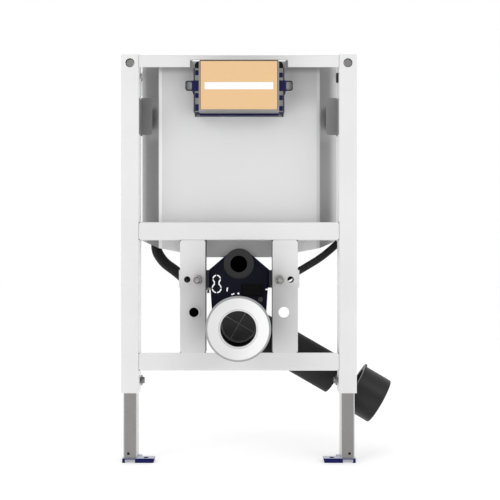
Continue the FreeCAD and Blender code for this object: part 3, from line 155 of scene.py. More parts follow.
# %% One material
class Finish:
    """A material: a Principled shader and the nodes that vary it."""

    def __init__(self, name, **constants):
        self.material = bpy.data.materials.new(name)
        self.material.use_nodes = True
        self.tree = self.material.node_tree
        self.shader = self.tree.nodes["Principled BSDF"]
        self.vary(**constants)
        self.where = self.node("TexCoord", {}, {}, "Object")

    def feed(self, socket, value):
        if isinstance(value, Wire):
            self.tree.links.new(value.socket, socket)
        elif hasattr(value, "__len__") and len(value) == 3 and socket.type == "RGBA":
            socket.default_value = (*value, 1)
        else:
            socket.default_value = value

    def node(self, kind, settings, values, output=0):
        made = self.tree.nodes.new("ShaderNode" + kind)
        for name, setting in settings.items():
            setattr(made, name, setting)
        for name, value in values.items():
            self.feed(made.inputs[name], value)
        return Wire(self, made.outputs[output])

    def vary(self, **sockets):
        for name, value in sockets.items():
            self.feed(self.shader.inputs[name.replace("_", " ")], value)
        return self

    def stretched(self, scale):
        return self.node("Mapping", {}, {"Vector": self.where, "Scale": scale})

    def grain(self, scale, detail, where=None):
        """Cloudy noise from 0 to 1; scale counts its clouds in a metre."""
        values = {"Vector": where or self.where, "Scale": scale, "Detail": detail}
        return self.node("TexNoise", {}, values)

    def blend(self, mask, first, second):
        """The first colour where the mask is 0, the second where it is 1."""
        return self.node("Mix", {"data_type": "RGBA"}, {0: mask, 6: first, 7: second}, 2)

    def spread(self, mask, low, high):
        """Stretch the part of a mask between low and high to 0 and 1."""
        return self.node("MapRange", {"interpolation_type": "SMOOTHSTEP"},
                         {0: mask, 1: low, 2: high, 3: 0.0, 4: 1.0})

    def relief(self, height, depth):
        """Turn a height from 0 to 1 into a bumpy normal, depth in metres."""
        bump = self.node("Bump", {}, {"Height": height, "Distance": depth, "Strength": 1.0})
        return self.vary(Normal=bump)


print("a finish can blend, spread and emboss")

# %% [markdown]
# ## Places on the object
# Some finishes change from place to place: the rim of the waste ring is painted greyer
# than its face as painted shade, and the inside of a tube holds no paint and is painted
# dark as painted shade. A mask for that is a sum on the surface's own coordinates, so it
# stays on the object from every side.

# %% Drawing coordinates as wires
def drawn(finish, axis):
    """A drawing coordinate in millimetres: x from the centre, y back, z up."""
    parts = finish.node("SeparateXYZ", {}, {0: finish.where}, "XYZ".index(axis))
    return parts * (1 / MM) - (CENTRE, FRONT, FLOOR)["XYZ".index(axis)]


def facing(finish, axis):
    """How far the surface faces along an axis, from -1 to 1."""
    surface = finish.node("NewGeometry", {}, {}, "Normal")
    return finish.node("SeparateXYZ", {}, {0: surface}, "XYZ".index(axis))


def facing_front(finish):
    """1 on a surface that looks to the front, down to 0 on one turned away."""
    return finish.spread(0 - facing(finish, "Y"), 0.7, 0.9)


def radius_from(across, up):
    """Distance from an axis, from two distances square to each other."""
    return (across * across + up * up) ** 0.5


print("masks ready")

# %% [markdown]
# ## Painted steel
# The frame is powder coated: the paint is baked on as dust and flows into a skin with
# a very fine orange peel, about a millimetre from crest to crest. A bump from noise at
# that size is enough, because the crests are only a few hundredths of a millimetre
# high. The feet and the sheet brackets carry the same kind of paint in other colours.

# %% Greys
def neutral(level):
    """A grey with no tint."""
    return (level,) * 3


def greys(low, high):
    """Two nearby greys for the clouds of a finish, the paler one first."""
    return neutral(high), neutral(low)


print("white paint in", greys(0.76, 0.79))


# %% Powder coats
def powder_coat(name, colour, shade, rough):
    coat = Finish(name, Specular_IOR_Level=0.4)
    clouds = coat.spread(coat.grain(scale=5, detail=3), 0.35, 0.65)
    dust = coat.grain(scale=70, detail=3)
    peel = coat.grain(scale=850, detail=2)
    coat.tone = coat.blend(clouds, colour, shade)
    coat.vary(Base_Color=coat.tone, Roughness=rough + 0.12 * dust)
    return coat.relief(peel, depth=0.03 * MM)


WHITE = (*greys(0.76, 0.79), 0.4)
finishes = {"frame_coat": powder_coat("white_coat", *WHITE)}
finishes["bracket_metal"] = powder_coat("grey_coat", *greys(0.17, 0.20), 0.42)
# Painted light: the right side bracket takes a paler copy of the grey coat.
right_bracket = powder_coat("pale_grey_coat", *greys(0.23, 0.27), 0.42)
plate_at_wall = powder_coat("wall_plate_coat", *greys(0.90, 0.93), 0.4)
print("powder coats on", len(finishes), "slots and two kinds of bracket")

# %% [markdown]
# The square tubes are painted outside only. Inside, the bare steel that shows through
# the access holes is painted dull and dark as painted shade. A point is inside where it
# is nearer to the tube's axis than the outer faces are, and that is a sum on x and y.
# The faces that look inward are painted paler, a painted highlight from the bright tank
# beside them.

# %% Uprights: paint outside, bare steel inside
UPRIGHT_X, HALF_TUBE = 242.5, 20


def tube_coat(name):
    coat = powder_coat(name, *WHITE)
    across = abs(abs(drawn(coat, "X")) - UPRIGHT_X)
    deep = abs(drawn(coat, "Y") - HALF_TUBE)
    outer = coat.spread(across.either(deep), 18.2, 19.4)
    mottle = coat.grain(scale=60, detail=4)
    # Painted shade: the bare steel inside the tube is painted a dark mottled grey.
    painted_shade = coat.blend(mottle, (0.30, 0.295, 0.29), (0.20, 0.195, 0.19))
    # Painted highlight: the faces that look inward are painted paler.
    inward = 0 - facing(coat, "X") * drawn(coat, "X") * (1 / UPRIGHT_X)
    tone = coat.blend(coat.spread(inward, 0.6, 0.9), coat.tone, neutral(0.96))
    return coat.vary(Base_Color=coat.blend(outer, painted_shade, tone))


tube_finish = tube_coat("tube_coat")
print("uprights painted")

# %% [markdown]
# A ground weld leaves a thin grey line where a rail meets an upright. The middle and
# lower rails also have a small notch at each corner, painted dark as painted shade, and
# the top rail carries painted shade over the cover. The pan plates have such notches too.

# %% Rails
INNER_X = UPRIGHT_X - HALF_TUBE
MIDDLE_RAIL_Z, LOWER_RAIL_Z = 515.5, 225
NOTCH = (3.2, 2.2)
SHADE = neutral(0.02)


def rail_coat(name):
    """Rails: a grey line where each meets an upright."""
    coat = powder_coat(name, *greys(0.745, 0.78), 0.42)
    coat.from_upright = INNER_X - abs(drawn(coat, "X"))
    joint = coat.spread(coat.from_upright, 1.1, 0.3)
    coat.tone = coat.blend(joint, coat.tone, neutral(0.60))
    return coat


def notched(coat, middle):
    """Painted shade: dark notches at the corners of a rail with its middle at this level.
    """
    up = abs(drawn(coat, "Z") - middle) - HALF_TUBE
    notch = coat.spread(radius_from(coat.from_upright, up), *NOTCH)
    return coat.vary(Base_Color=coat.blend(notch, coat.tone, neutral(0.10)))


def shade_over_cover(coat):
    """Painted shade on the front, darkest over the cover and fading out 175 mm away."""
    dull_and_shade = coat.spread(abs(drawn(coat, "X") - 9), 175, 20)
    dull_and_shade = 0.29 * dull_and_shade * facing_front(coat)
    return coat.vary(Base_Color=coat.blend(dull_and_shade, coat.tone, SHADE))


rail_finishes = {
    "middle_rail": notched(rail_coat("middle_rail_coat"), MIDDLE_RAIL_Z),
    "lower_rail": notched(rail_coat("lower_rail_coat"), LOWER_RAIL_Z),
    "top_rail": shade_over_cover(rail_coat("top_rail_coat")),
}
print("painted", ", ".join(rail_finishes))


# %% Pan plates, the bar behind them, and the feet
PLATE_X, PLATE_HALF_WIDTH = 102.5, 28.5
PLATE_Z, PLATE_HALF_HEIGHT = 370.25, 125.25
SPARE_X = 115


def plate_coat(name):
    """The pan plates: painted shade, greyer near the ring and dark at the inner cut edges.
    """
    coat = powder_coat(name, *greys(0.72, 0.76), 0.45)
    across, up = abs(drawn(coat, "X")), drawn(coat, "Z")
    middle = 1 - coat.spread(abs(up - 352), 20, 120)
    inward = coat.spread(across, PLATE_X + PLATE_HALF_WIDTH, 76)
    # Painted shade round the ring, greyest nearest it and towards the inner edges.
    ring_shade = (0.30 + 0.32 * inward) * middle + 0.10 * inward
    tone = coat.blend(ring_shade, coat.tone, neutral(0.36))
    inner_edge_shade = coat.spread(across, 75.4, 74.4)
    tone = coat.blend(inner_edge_shade, tone, neutral(0.13))
    # Painted shade: the corner notches and the bores of the spare holes are painted almost
    # black.
    notch = radius_from(abs(across - PLATE_X) - PLATE_HALF_WIDTH,
                        abs(up - PLATE_Z) - PLATE_HALF_HEIGHT)
    bore = radius_from(across - SPARE_X, up - STUD_Z)
    dark = coat.spread(notch, *NOTCH).either(coat.spread(bore, 7.4, 6.9))
    return coat.vary(Base_Color=coat.blend(dark, tone, neutral(0.03)))


def crossbar_coat(name):
    """The bar behind the plates: painted shade, almost black, on its front round its two
    spare holes.
    """
    coat = powder_coat(name, *WHITE)
    bore = radius_from(abs(drawn(coat, "X")) - SPARE_X, drawn(coat, "Z") - STUD_Z)
    # Painted shade round the spare holes, so that they look black.
    painted_shade = coat.spread(bore, 11, 10) * coat.spread(drawn(coat, "Y"), 47.6, 46.6)
    return coat.vary(Base_Color=coat.blend(painted_shade, coat.tone, SHADE))


def foot_coat(name):
    """Navy paint whose level top is painted pale, a painted reflection of the pale floor
    and walls.
    """
    coat = powder_coat(name, (0.006, 0.009, 0.105), (0.007, 0.010, 0.085), 0.34)
    # Painted reflection: the level top is painted pale.
    level = coat.spread(facing(coat, "Z"), 0.7, 0.95)
    return coat.vary(Base_Color=coat.blend(level, coat.tone, (0.62, 0.64, 0.75)),
                     Specular_IOR_Level=0.12)


plate_finish = plate_coat("plate_coat")
crossbar_finish = crossbar_coat("crossbar_coat")
finishes["foot_coat"] = foot_coat("navy_coat")
print("plates, bar and feet painted")

# %% [markdown]
# ## Bare zinc
# The legs are drawn steel tube with a zinc skin, and the bolts are plated. Drawing
# leaves fine lines along the tube, so the noise is stretched along Z until each cloud
# is a streak, and the tube's side faces are painted paler as a painted reflection.
# Plated bolts have no direction: they get small spangles instead. A dark ring of
# painted shade lies in the corner round a bolt.

# %% Zinc on tube and on bolts
def drawn_steel(name):
    steel = Finish(name, Metallic=1.0)
    streaks = steel.grain(scale=1, detail=3, where=steel.stretched((900, 900, 7)))
    dull_and_shade = steel.spread(steel.grain(scale=14, detail=4), 0.4, 0.7)
    tone = steel.blend(streaks, (0.275, 0.270, 0.262), (0.235, 0.231, 0.224))
    tone = steel.blend(0.3 * dull_and_shade, tone, (0.33, 0.327, 0.32))
    # Painted reflection: faces turned to the sides are painted paler, as if mirroring the
    # bright room.
    face = steel.spread(abs(facing(steel, "Y")), 0.90, 0.99)
    steel.vary(Base_Color=steel.blend(face, (0.60, 0.597, 0.59), tone),
               Roughness=0.20 + 0.10 * streaks + 0.05 * dull_and_shade)
    return steel.relief(streaks, depth=0.008 * MM)


def plated_steel(name, bright, dark):
    zinc = Finish(name, Metallic=0.9)
    spangle = zinc.node("TexVoronoi", {}, {"Vector": zinc.where, "Scale": 420}, "Color")
    level = zinc.node("SeparateColor", {}, {0: spangle})
    dirt = zinc.spread(zinc.grain(scale=160, detail=4), 0.45, 0.75)
    tone = zinc.blend(level, bright, dark)
    zinc.tone = zinc.blend(0.35 * dirt, tone, (0.15, 0.145, 0.14))
    zinc.vary(Base_Color=zinc.tone, Roughness=0.24 + 0.12 * level + 0.15 * dirt)
    return zinc.relief(level, depth=0.01 * MM)


def shaded_ring(zinc, x, z, inner, outer):
    """Painted shade: a dark ring round a bolt that stands on each side of the frame."""
    out = radius_from(abs(drawn(zinc, "X")) - x, drawn(zinc, "Z") - z)
    inside = zinc.spread(out, outer + 0.4, outer - 0.2)
    ring = zinc.spread(out, inner - 0.4, inner + 0.2) * inside
    return zinc.vary(Base_Color=zinc.blend(ring, zinc.tone, neutral(0.05)))


ANCHOR_Z = 890
finishes["leg_steel"] = drawn_steel("drawn_leg_steel")
ZINC = ((0.45, 0.445, 0.43), (0.34, 0.335, 0.32))
finishes["zinc"] = plated_steel("plated_bolt_steel", *ZINC)
stud_zinc = shaded_ring(plated_steel("pan_stud_steel", *ZINC), STUD_X, STUD_Z,
                        inner=5.8, outer=6.6)
anchor_zinc = shaded_ring(plated_steel("anchor_steel", *ZINC), UPRIGHT_X, ANCHOR_Z,
                          inner=8.2, outer=12)
clamp_zinc = plated_steel("clamp_bolt_steel", (0.30, 0.295, 0.285), (0.16, 0.155, 0.15))
dark_zinc = plated_steel("dark_nut_steel", *greys(0.07, 0.12))
print("metals ready")

# %% [markdown]
# ## Moulded plastics
# The pipes, the bracket, the racks and the ring are injection moulded. A mould is
# eroded to a fine grain so that scratches don't show, and the plastic's gloss changes
# a little where it cooled faster. One function makes them all, from two tones, a
# roughness, a gloss, the size of the grain and its depth.

# %% Plastic with a moulded grain
def moulded(name, colour, shade, rough, gloss, grain_size, depth):
    plastic = Finish(name, Specular_IOR_Level=gloss)
    cooled = plastic.spread(plastic.grain(scale=9, detail=3), 0.35, 0.7)
    grain = plastic.grain(scale=1 / grain_size, detail=2)
    plastic.tone = plastic.blend(cooled, colour, shade)
    plastic.vary(Base_Color=plastic.tone, Roughness=rough + 0.1 * cooled + 0.06 * grain)
    return plastic.relief(grain, depth)


# Each slot has two tones, a roughness, a gloss, the size of the grain and its depth.
plastics = {
    "pipe_plastic": (*greys(0.024, 0.030), 0.42, 0.06, 0.9 * MM, 0.012 * MM),
    "seal_rubber": (*greys(0.024, 0.030), 0.60, 0.15, 0.7 * MM, 0.03 * MM),
    "conduit_plastic": (*greys(0.006, 0.009), 0.45, 0.2, 1.0 * MM, 0.02 * MM),
    "hose_rubber": (*greys(0.010, 0.014), 0.5, 0.2, 0.8 * MM, 0.03 * MM),
    "clip_plastic": (*greys(0.020, 0.027), 0.42, 0.4, 1.0 * MM, 0.02 * MM),
    "grommet_plastic": (*greys(0.56, 0.62), 0.42, 0.45, 1.0 * MM, 0.02 * MM),
}
for slot, recipe in plastics.items():
    finishes[slot] = moulded(slot.replace("_", "-"), *recipe)
pale_clip = moulded("pale-clip", *greys(0.32, 0.38), 0.42, 0.4, 1.0 * MM, 0.02 * MM)
adapter_finish = moulded("adapter-plastic", *greys(0.010, 0.014), 0.34, 0.34, 0.9 * MM,
                         0.012 * MM)
print(len(plastics), "plain plastics")

# %% [markdown]
# The bracket that carries the pipes is navy. Its bevelled flanks are painted bluer than
# its face, a painted reflection of the bright sides of the room. Its two wings are
# greyer, and the floor of its recess is painted almost black with a speckle, as painted
# shade.

# %% Navy bracket
def bracket_plastic(name):
    plastic = moulded(name, (0.0050, 0.0056, 0.0185), (0.0040, 0.0045, 0.0140),
                      0.42, 0.16, 1.1 * MM, 0.02 * MM)
    # Painted reflection: the bevelled flanks are painted bluer.
    flank = plastic.spread(abs(facing(plastic, "X")), 0.2, 0.7)
    tone = plastic.blend(flank, plastic.tone, (0.012, 0.012, 0.085))
    wing = plastic.spread(abs(drawn(plastic, "X")), 68.1, 68.6)
    tone = plastic.blend(wing, tone, (0.080, 0.082, 0.080))
    sunk = plastic.spread(drawn(plastic, "Y"), 36.5, 37.5) * (1 - wing)
    sparks = plastic.spread(plastic.grain(scale=420, detail=4), 0.5, 0.75)
    recess_shade = plastic.blend(sparks, (0.0008, 0.0008, 0.0007), (0.009, 0.008, 0.006))
    # Painted shade: the floor of the recess is painted almost black.
    recess = sunk * facing_front(plastic)
    return plastic.vary(Base_Color=plastic.blend(recess, tone, recess_shade))


finishes["bracket_plastic"] = bracket_plastic("bracket-plastic")
print("bracket ready")

# %% [markdown]
# The racks at the sides of the access shaft are navy too, with black hooks on top.
# The two ears are grey dishes with a dark rim, and painted shade darkens each towards
# its outer side. The rim is where a rounded square, drawn as a sum of fourth powers,
# passes its edge. The shaft itself is grey, and its cheeks are painted darker as painted
# shade, most low down, out to an almost black outer edge.

# %% Racks, ears and access shaft
EAR_X, EAR_Z = 112.8, 843.45
EAR_HALF_WIDTH, EAR_HALF_HEIGHT = 8, 11.15


def rack_plastic(name):
    plastic = moulded(name, (0.0085, 0.0095, 0.066), (0.0065, 0.0075, 0.050),
                      0.42, 0.2, 1.1 * MM, 0.02 * MM)
    hook = plastic.spread(drawn(plastic, "Z"), 877, 880)
    return plastic.vary(Base_Color=plastic.blend(hook, plastic.tone, (0.004, 0.004, 0.006)))


def ear_plastic(name):
    plastic = moulded(name, *greys(0.36, 0.42), 0.44, 0.35, 1.2 * MM, 0.02 * MM)
    across = abs(drawn(plastic, "X")) - EAR_X
    up = drawn(plastic, "Z") - EAR_Z
    square = abs(across * (1 / EAR_HALF_WIDTH)) ** 4 + abs(up * (1 / EAR_HALF_HEIGHT)) ** 4
    # Painted shade across each ear, darkest at its outer side.
    shaded = plastic.spread(across, -8, 7)
    tone = plastic.blend(shaded, plastic.tone, neutral(0.17))
    rim = plastic.spread(square, 0.34, 0.5) * plastic.spread(across, -7.6, -6.6)
    return plastic.vary(Base_Color=plastic.blend(rim, tone, (0.030, 0.030, 0.032)))


def shaft_cheeks(name):
    plastic = moulded(name, *greys(0.25, 0.29), 0.44, 0.3, 1.2 * MM, 0.02 * MM)
    across, up = abs(drawn(plastic, "X")), drawn(plastic, "Z")
    low = 1 - plastic.spread(up, 800, 868)
    # Painted shade on the cheeks, darker outwards and low down.
    cheek = plastic.spread(across, 90, 100) * (0.5 + 0.4 * low)
    tone = plastic.blend(cheek, plastic.tone, (0.16, 0.16, 0.165))
    # Painted shade: an almost black outer edge on the cheeks.
    edge = plastic.spread(across, 98.2, 98.8) * (1 - plastic.spread(up, 879, 881))
    return plastic.vary(Base_Color=plastic.blend(edge, tone, (0.03, 0.03, 0.04)))


finishes["rack_plastic"] = rack_plastic("rack-plastic")
finishes["shaft_plastic"] = shaft_cheeks("shaft-plastic")
ear_finish = ear_plastic("ear-plastic")
print("racks, ears and shaft ready")

# %% [markdown]
# The waste ring is white, painted paler towards the right as painted light. Its outer
# edge is rounded over and painted grey as painted shade, and a fine groove round the
# bore is painted as a dark line of painted shade. Distance from the pipe's axis picks
# out each of these.
# The plug in the bend is dark, but its grey is painted paler as painted light, since
# the deep bend keeps light from it. Its ribs are painted highlights, paler still, so
# their mask asks for the points that stand proud of the disc.

# %% Ring and plug
WASTE_Z = 308


def ring_plastic(name):
    plastic = moulded(name, *greys(0.70, 0.73), 0.38, 0.45, 1.2 * MM, 0.012 * MM)
    across = drawn(plastic, "X")
    out = radius_from(across, drawn(plastic, "Z") - WASTE_Z)
    # Painted light: the ring is painted paler towards the right.
    painted_light_right = plastic.spread(across, -35, 60)
    # Painted shade on the rounded rim and in a fine line round the bore.
    rim = plastic.spread(out, 63.8, 65.4)
    tone = plastic.blend(painted_light_right, plastic.tone, neutral(0.90))
    tone = plastic.blend(rim, tone, (0.33, 0.33, 0.335))
    groove = 1 - plastic.spread(abs(out - 41.2), 0.2, 1.0)
    return plastic.vary(Base_Color=plastic.blend(0.45 * groove, tone, neutral(0.30)))


def plug_plastic(name):
    # Painted light: the plug's grey is painted paler than its own colour.
    plastic = moulded(name, *greys(0.22, 0.34), 0.45, 0.3, 0.9 * MM, 0.012 * MM)
    # Painted highlight on the ribs that stand proud of the disc.
    rib_highlight = plastic.spread(drawn(plastic, "Y"), 19.6, 18.6)
    return plastic.vary(Base_Color=plastic.blend(rib_highlight, plastic.tone, neutral(0.80)))


finishes["ring_plastic"] = ring_plastic("ring-plastic")
plug_finish = plug_plastic("plug-plastic")
print("ring and plug ready")

# %% [markdown]
# ## Cistern, cover and label
# The cistern's front is smooth and pale with very fine lines across it, left by the
# rollers of the sheet. Its rounded corners carry painted light and shade: the left one is
# painted brighter than the front, the right one darker. Its slanted sides are painted
# grey as painted shade, with the mottle of pressed foam. The front is duller where the
# rail and the shaft keep the light off it.

# %% The tank's shaded sides
def shaded_sides(jacket, across, right, mottle):
    """Painted shade on the grey sides, darker high up, with painted light: paler on the
    right, at the back and in the brackets' shadow.
    """
    # Painted shade: darker high up on the sides.
    high = jacket.spread(drawn(jacket, "Z"), 640, 860)
    # Painted light where the brackets cast their shadow on the sides.
    bracket_shadow_lift = jacket.spread(abs(drawn(jacket, "Z") - 772), 60, 20)
    bracket_shadow_lift = bracket_shadow_lift * jacket.spread(drawn(jacket, "Y"), 100, 70)
    # Painted light: paler towards the back, more so on the right.
    outer = jacket.spread(across, 214 - 8 * right, 229)
    painted_shade = jacket.blend(mottle, neutral(0.20), neutral(0.29))
    painted_shade = jacket.blend(0.45 * right, painted_shade, neutral(0.42))
    painted_shade = jacket.blend(0.2 * high, painted_shade, neutral(0.14))
    painted_shade = jacket.blend(0.3 * bracket_shadow_lift, painted_shade, neutral(0.75))
    return jacket.blend((0.4 + 0.35 * right) * outer, painted_shade, neutral(0.66))


print("side finish ready")


# %% The tank's jacket
def tank_jacket(name):
    jacket = Finish(name, Specular_IOR_Level=0.3)
    x, z = drawn(jacket, "X"), drawn(jacket, "Z")
    across, front = abs(x), facing_front(jacket)
    right = jacket.spread(x, -60, 60)
    lines = jacket.grain(scale=1, detail=3, where=jacket.stretched((14, 40, 700)))
    clouds = jacket.spread(jacket.grain(scale=3.5, detail=4), 0.3, 0.7)
    pale = jacket.blend(clouds, *greys(0.715, 0.75))
    pale = jacket.blend(0.5 * lines, pale, neutral(0.69))
    # Painted shade beside the shaft, and below under the rail.
    by_shaft = jacket.spread(z, 780, 840) * jacket.spread(x, 95, 125)
    pale = jacket.blend(0.27 * by_shaft * front, pale, SHADE)
    # Painted highlight and shade on the rounded corners, bright on the left, dark on the
    # right.
    rounded = jacket.blend(right, neutral(0.93), neutral(0.60))
    tone = jacket.blend(jacket.spread(across, 176.8, 178.2), pale, rounded)
    under_rail = jacket.spread(z, 875, 891)
    tone = jacket.blend(0.45 * under_rail * front, tone, SHADE)
    mottle = jacket.grain(scale=230, detail=4)
    side = jacket.spread(across, 184.4, 185.6)
    painted_shade = shaded_sides(jacket, across, right, mottle)
    jacket.vary(Base_Color=jacket.blend(side, tone, painted_shade),
                Roughness=0.55 + 0.15 * mottle)
    return jacket.relief(lines, depth=0.02 * MM)


finishes["tank_plastic"] = tank_jacket("tank_jacket")
print("tank ready")

# %% [markdown]
# The cover of the access shaft is a board of pressed fibre. Its side and top edges are
# painted dark as painted shade. The fibres lie across it, so their noise is stretched
# that way. A plain white paper strip is glued on.

# %% Board and paper
def fibre_board(name):
    board = Finish(name, Specular_IOR_Level=0.25)
    fibres = board.grain(scale=1, detail=4, where=board.stretched((70, 500, 900)))
    patches = board.spread(board.grain(scale=18, detail=3), 0.3, 0.7)
    tone = board.blend(fibres, (0.81, 0.55, 0.295), (0.76, 0.50, 0.265))
    tone = board.blend(0.3 * patches, tone, (0.80, 0.53, 0.285))
    # Painted shade: the side and top edges of the board are painted dark.
    edge_shade_side = board.spread(abs(drawn(board, "X")), 84.9, 85.5)
    edge_shade_top = board.spread(drawn(board, "Z"), 893.4, 894.0)
    edge_shade = edge_shade_side.either(edge_shade_top)
    board.vary(Base_Color=board.blend(edge_shade, tone, (0.085, 0.062, 0.045)),
               Roughness=0.7 + 0.12 * fibres)
    return board.relief(fibres, depth=0.03 * MM)


def matt_paper(name):
    paper = Finish(name, Specular_IOR_Level=0.3)
    pulp = paper.grain(scale=600, detail=4)
    paper.vary(Base_Color=paper.blend(pulp, *greys(0.91, 0.95)),
               Roughness=0.6 + 0.15 * pulp)
    return paper.relief(pulp, depth=0.01 * MM)


finishes["cover_board"] = fibre_board("pressed_board")
finishes["cover_label"] = matt_paper("paper_strip")
print(len(finishes), "finishes")

# %% [markdown]
# ## Give every CAD piece its finish
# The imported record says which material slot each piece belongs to. Reading the slots
# from there keeps Blender and CAD in step when a piece is added. A few pieces then
# swap their slot's plain finish for one that knows its own places.

# %% Assign the finishes
own_finish = {
    "left_upright": tube_finish, "right_upright": tube_finish,
    **rail_finishes, "crossbar": crossbar_finish, "right_side_bracket": right_bracket,
    "left_wall_plate": plate_at_wall, "right_wall_plate": plate_at_wall,
    "left_pan_plate": plate_finish, "right_pan_plate": plate_finish,
    "left_ear": ear_finish, "right_ear": ear_finish,
    "waste_plug": plug_finish, "left_clip": pale_clip, "waste_adapter": adapter_finish,
}
slot_of = {part["node"]: part["material_slot"] for part in frame["record"]["subparts"]}
for name, piece in nodes.items():
    finish = own_finish.get(name, finishes[slot_of[name]])
    piece.data.materials.clear()
    piece.data.materials.append(finish.material)
print(sorted(set(slot_of.values()) - set(finishes)), "slots without a finish")

# %% [markdown]
# ## Turned and threaded pieces
# Bolts, nuts and studs are made the way a lathe makes them: rings of points along one
# axis, skinned into a closed shape. A nut is the same, but each ring is cut off at six
# flats, and the cone that chamfers a real nut's corners comes by itself where a ring
# is narrower than the corners. A thread is a ring whose radius winds up and down with
# the angle, so its ridge is one true helix with no seam.

# %% Rings of points
ALONG = {
    "+X": Matrix.Rotation(math.radians(90), 4, "Y"),
    "-X": Matrix.Rotation(math.radians(-90), 4, "Y"),
    "+Y": Matrix.Rotation(math.radians(-90), 4, "X"),
    "+Z": Matrix.Identity(4),
}


def join_rings(mesh, loops):
    """Close a solid over loops of points: its wall, then its two ends."""
    count = len(loops[0])
    for low, high in zip(loops, loops[1:]):
        for n in range(count):
            after = (n + 1) % count
            mesh.faces.new((low[n], low[after], high[after], high[n]))
    mesh.faces.new(reversed(loops[0]))
    mesh.faces.new(loops[-1])


def skin(mesh, place, rings, shape, sides):
    """A solid over rings given as (distance along, radius), both in millimetres."""
    loops = []
    for along, radius in rings:
        loop = []
        for n in range(sides):
            angle = 2 * math.pi * n / sides
            reach = shape(along, radius, angle) * MM
            point = Vector((reach * math.cos(angle), reach * math.sin(angle), along * MM))
            loop.append(mesh.verts.new(place @ point))
        loops.append(loop)
    join_rings(mesh, loops)


def turned(mesh, place, rings):
    skin(mesh, place, rings, lambda along, radius, angle: radius, sides=48)


print("lathe ready for", ", ".join(ALONG))


# %% Nuts and threads
SIXTH = math.pi / 3
TIP, CHAMFER = 0.97, math.radians(30)  # a nut's end face over its flats, and its slope
DEPTH, ROWS_A_TURN = 0.55, 5  # a thread's depth over its pitch, and rings in one turn


def hexagon(mesh, place, flats, start, end):
    """A nut or bolt head, chamfered at both ends; flats is half its width."""
    def shape(along, radius, angle):
        return min(radius, flats / math.cos(angle % SIXTH - SIXTH / 2))

    corner = flats / math.cos(SIXTH / 2)
    tip = TIP * flats
    rise = (corner - flats) * math.tan(CHAMFER)
    steps = [n / 4 for n in range(5)]
    rings = [(start + rise * s, tip + (corner - tip) * s) for s in steps]
    rings += [(end - rise * s, tip + (corner - tip) * s) for s in steps[::-1]]
    skin(mesh, place, rings, shape, sides=72)


def threaded(mesh, place, radius, pitch, start, end):
    """A rod with a thread of the given pitch and a chamfer at each end."""
    depth = DEPTH * pitch

    def shape(along, outer, angle):
        wave = (along / pitch - angle / (2 * math.pi)) % 1
        return outer - depth * abs(2 * wave - 1)

    rows = round(ROWS_A_TURN * (end - start) / pitch)
    rings = []
    for row in range(rows + 1):
        along = start + (end - start) * row / rows
        chamfer = min(along - start, end - along, depth)
        rings.append((along, radius - depth + chamfer))
    skin(mesh, place, rings, shape, sides=28)


print("nuts and threads ready")


# %% From a mesh to a piece
def piece_of(mesh, name, finish, sharp=22):
    data = bpy.data.meshes.new(name)
    mesh.to_mesh(data)
    mesh.free()
    data.shade_smooth()
    data.set_sharp_from_angle(angle=math.radians(sharp))
    data.materials.append(finish.material)
    piece = bpy.data.objects.new(name, data)
    bpy.context.scene.collection.objects.link(piece)
    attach(piece, "frame")
    return piece


def threaded_piece(mesh, name, finish):
    """A bolt, nut or rod that stands in for the plain CAD one of that name."""
    piece = piece_of(mesh, name + "_threaded", finish)
    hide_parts(name)
    print(piece.name, len(piece.data.polygons), "faces")


print("pieces ride on the frame")

# %% [markdown]
# ## Studs for the pan
# Each stud is a length of threaded rod. Its front half wears a smooth sleeve that the
# pan hangs on, and a nut pulls it against the plate from each side. The end of the rod
# has a small countersunk dimple from the lathe's centre.

# %% Pan studs
SIDES = {"left": -1, "right": 1}
STUD_TIP = [(-51.2, 1.6), (-52.0, 2.9), (-52.0, 5.0), (-51.0, 6.0), (-50.5, 6.0),
            (-50.5, 4.5), (3.5, 4.5)]
STUD_SLEEVE = [(-50.0, 6.1), (-50.0, 7.5), (-49.2, 8.25), (-12.5, 8.25), (-12.0, 7.7),
               (-11.0, 7.7), (-10.2, 8.25), (-9.5, 8.25)]
NUT_FLATS = 9.5


def pan_stud(name, side):
    mesh = bmesh.new()
    place = Matrix.Translation(spot(side * STUD_X, 0, STUD_Z)) @ ALONG["+Y"]
    turned(mesh, place, STUD_TIP)
    turned(mesh, place, STUD_SLEEVE)
    hexagon(mesh, place, NUT_FLATS, start=-10.0, end=0.0)
    threaded(mesh, place, radius=6.0, pitch=1.75, start=3.2, end=62.0)
    hexagon(mesh, place, NUT_FLATS, start=48.0, end=58.0)
    threaded_piece(mesh, name, stud_zinc)


for hand, side in SIDES.items():
    pan_stud(hand + "_pan_stud", side)

# %% [markdown]
# ## Anchors to the wall
# At the top of each upright a long screw goes through to the wall plate. Its broad
# head and its spacer sit in the tube and show through the access hole, and a nut
# behind the upright holds the frame at its distance from the wall.

# %% Anchor rods
ANCHOR_HEAD = [(4.5, 7.4), (4.1, 8.2), (4.0, 8.7), (4.6, 9.5), (8.6, 9.5), (9.0, 9.1),
               (9.0, 8.5), (37.6, 8.5), (38.0, 8.1), (38.0, 5.0), (39.0, 5.0)]


def anchor_rod(name, side):
    mesh = bmesh.new()
    place = Matrix.Translation(spot(side * UPRIGHT_X, 0, ANCHOR_Z)) @ ALONG["+Y"]
    turned(mesh, place, ANCHOR_HEAD)
    threaded(mesh, place, radius=5.0, pitch=1.5, start=38.5, end=171.0)
    hexagon(mesh, place, NUT_FLATS, start=40.0, end=48.0)
    threaded_piece(mesh, name, anchor_zinc)


for hand, side in SIDES.items():
    anchor_rod(hand + "_anchor_rod", side)

# %% [markdown]
# ## Bolts that clamp the legs, and the bracket's fixings
# A bolt through the inner face of each upright presses on the leg and holds its
# height. It has a collar nut, a loose washer and a hexagon head. The bracket is held
# by one small bolt and one nut on a stub of thread.

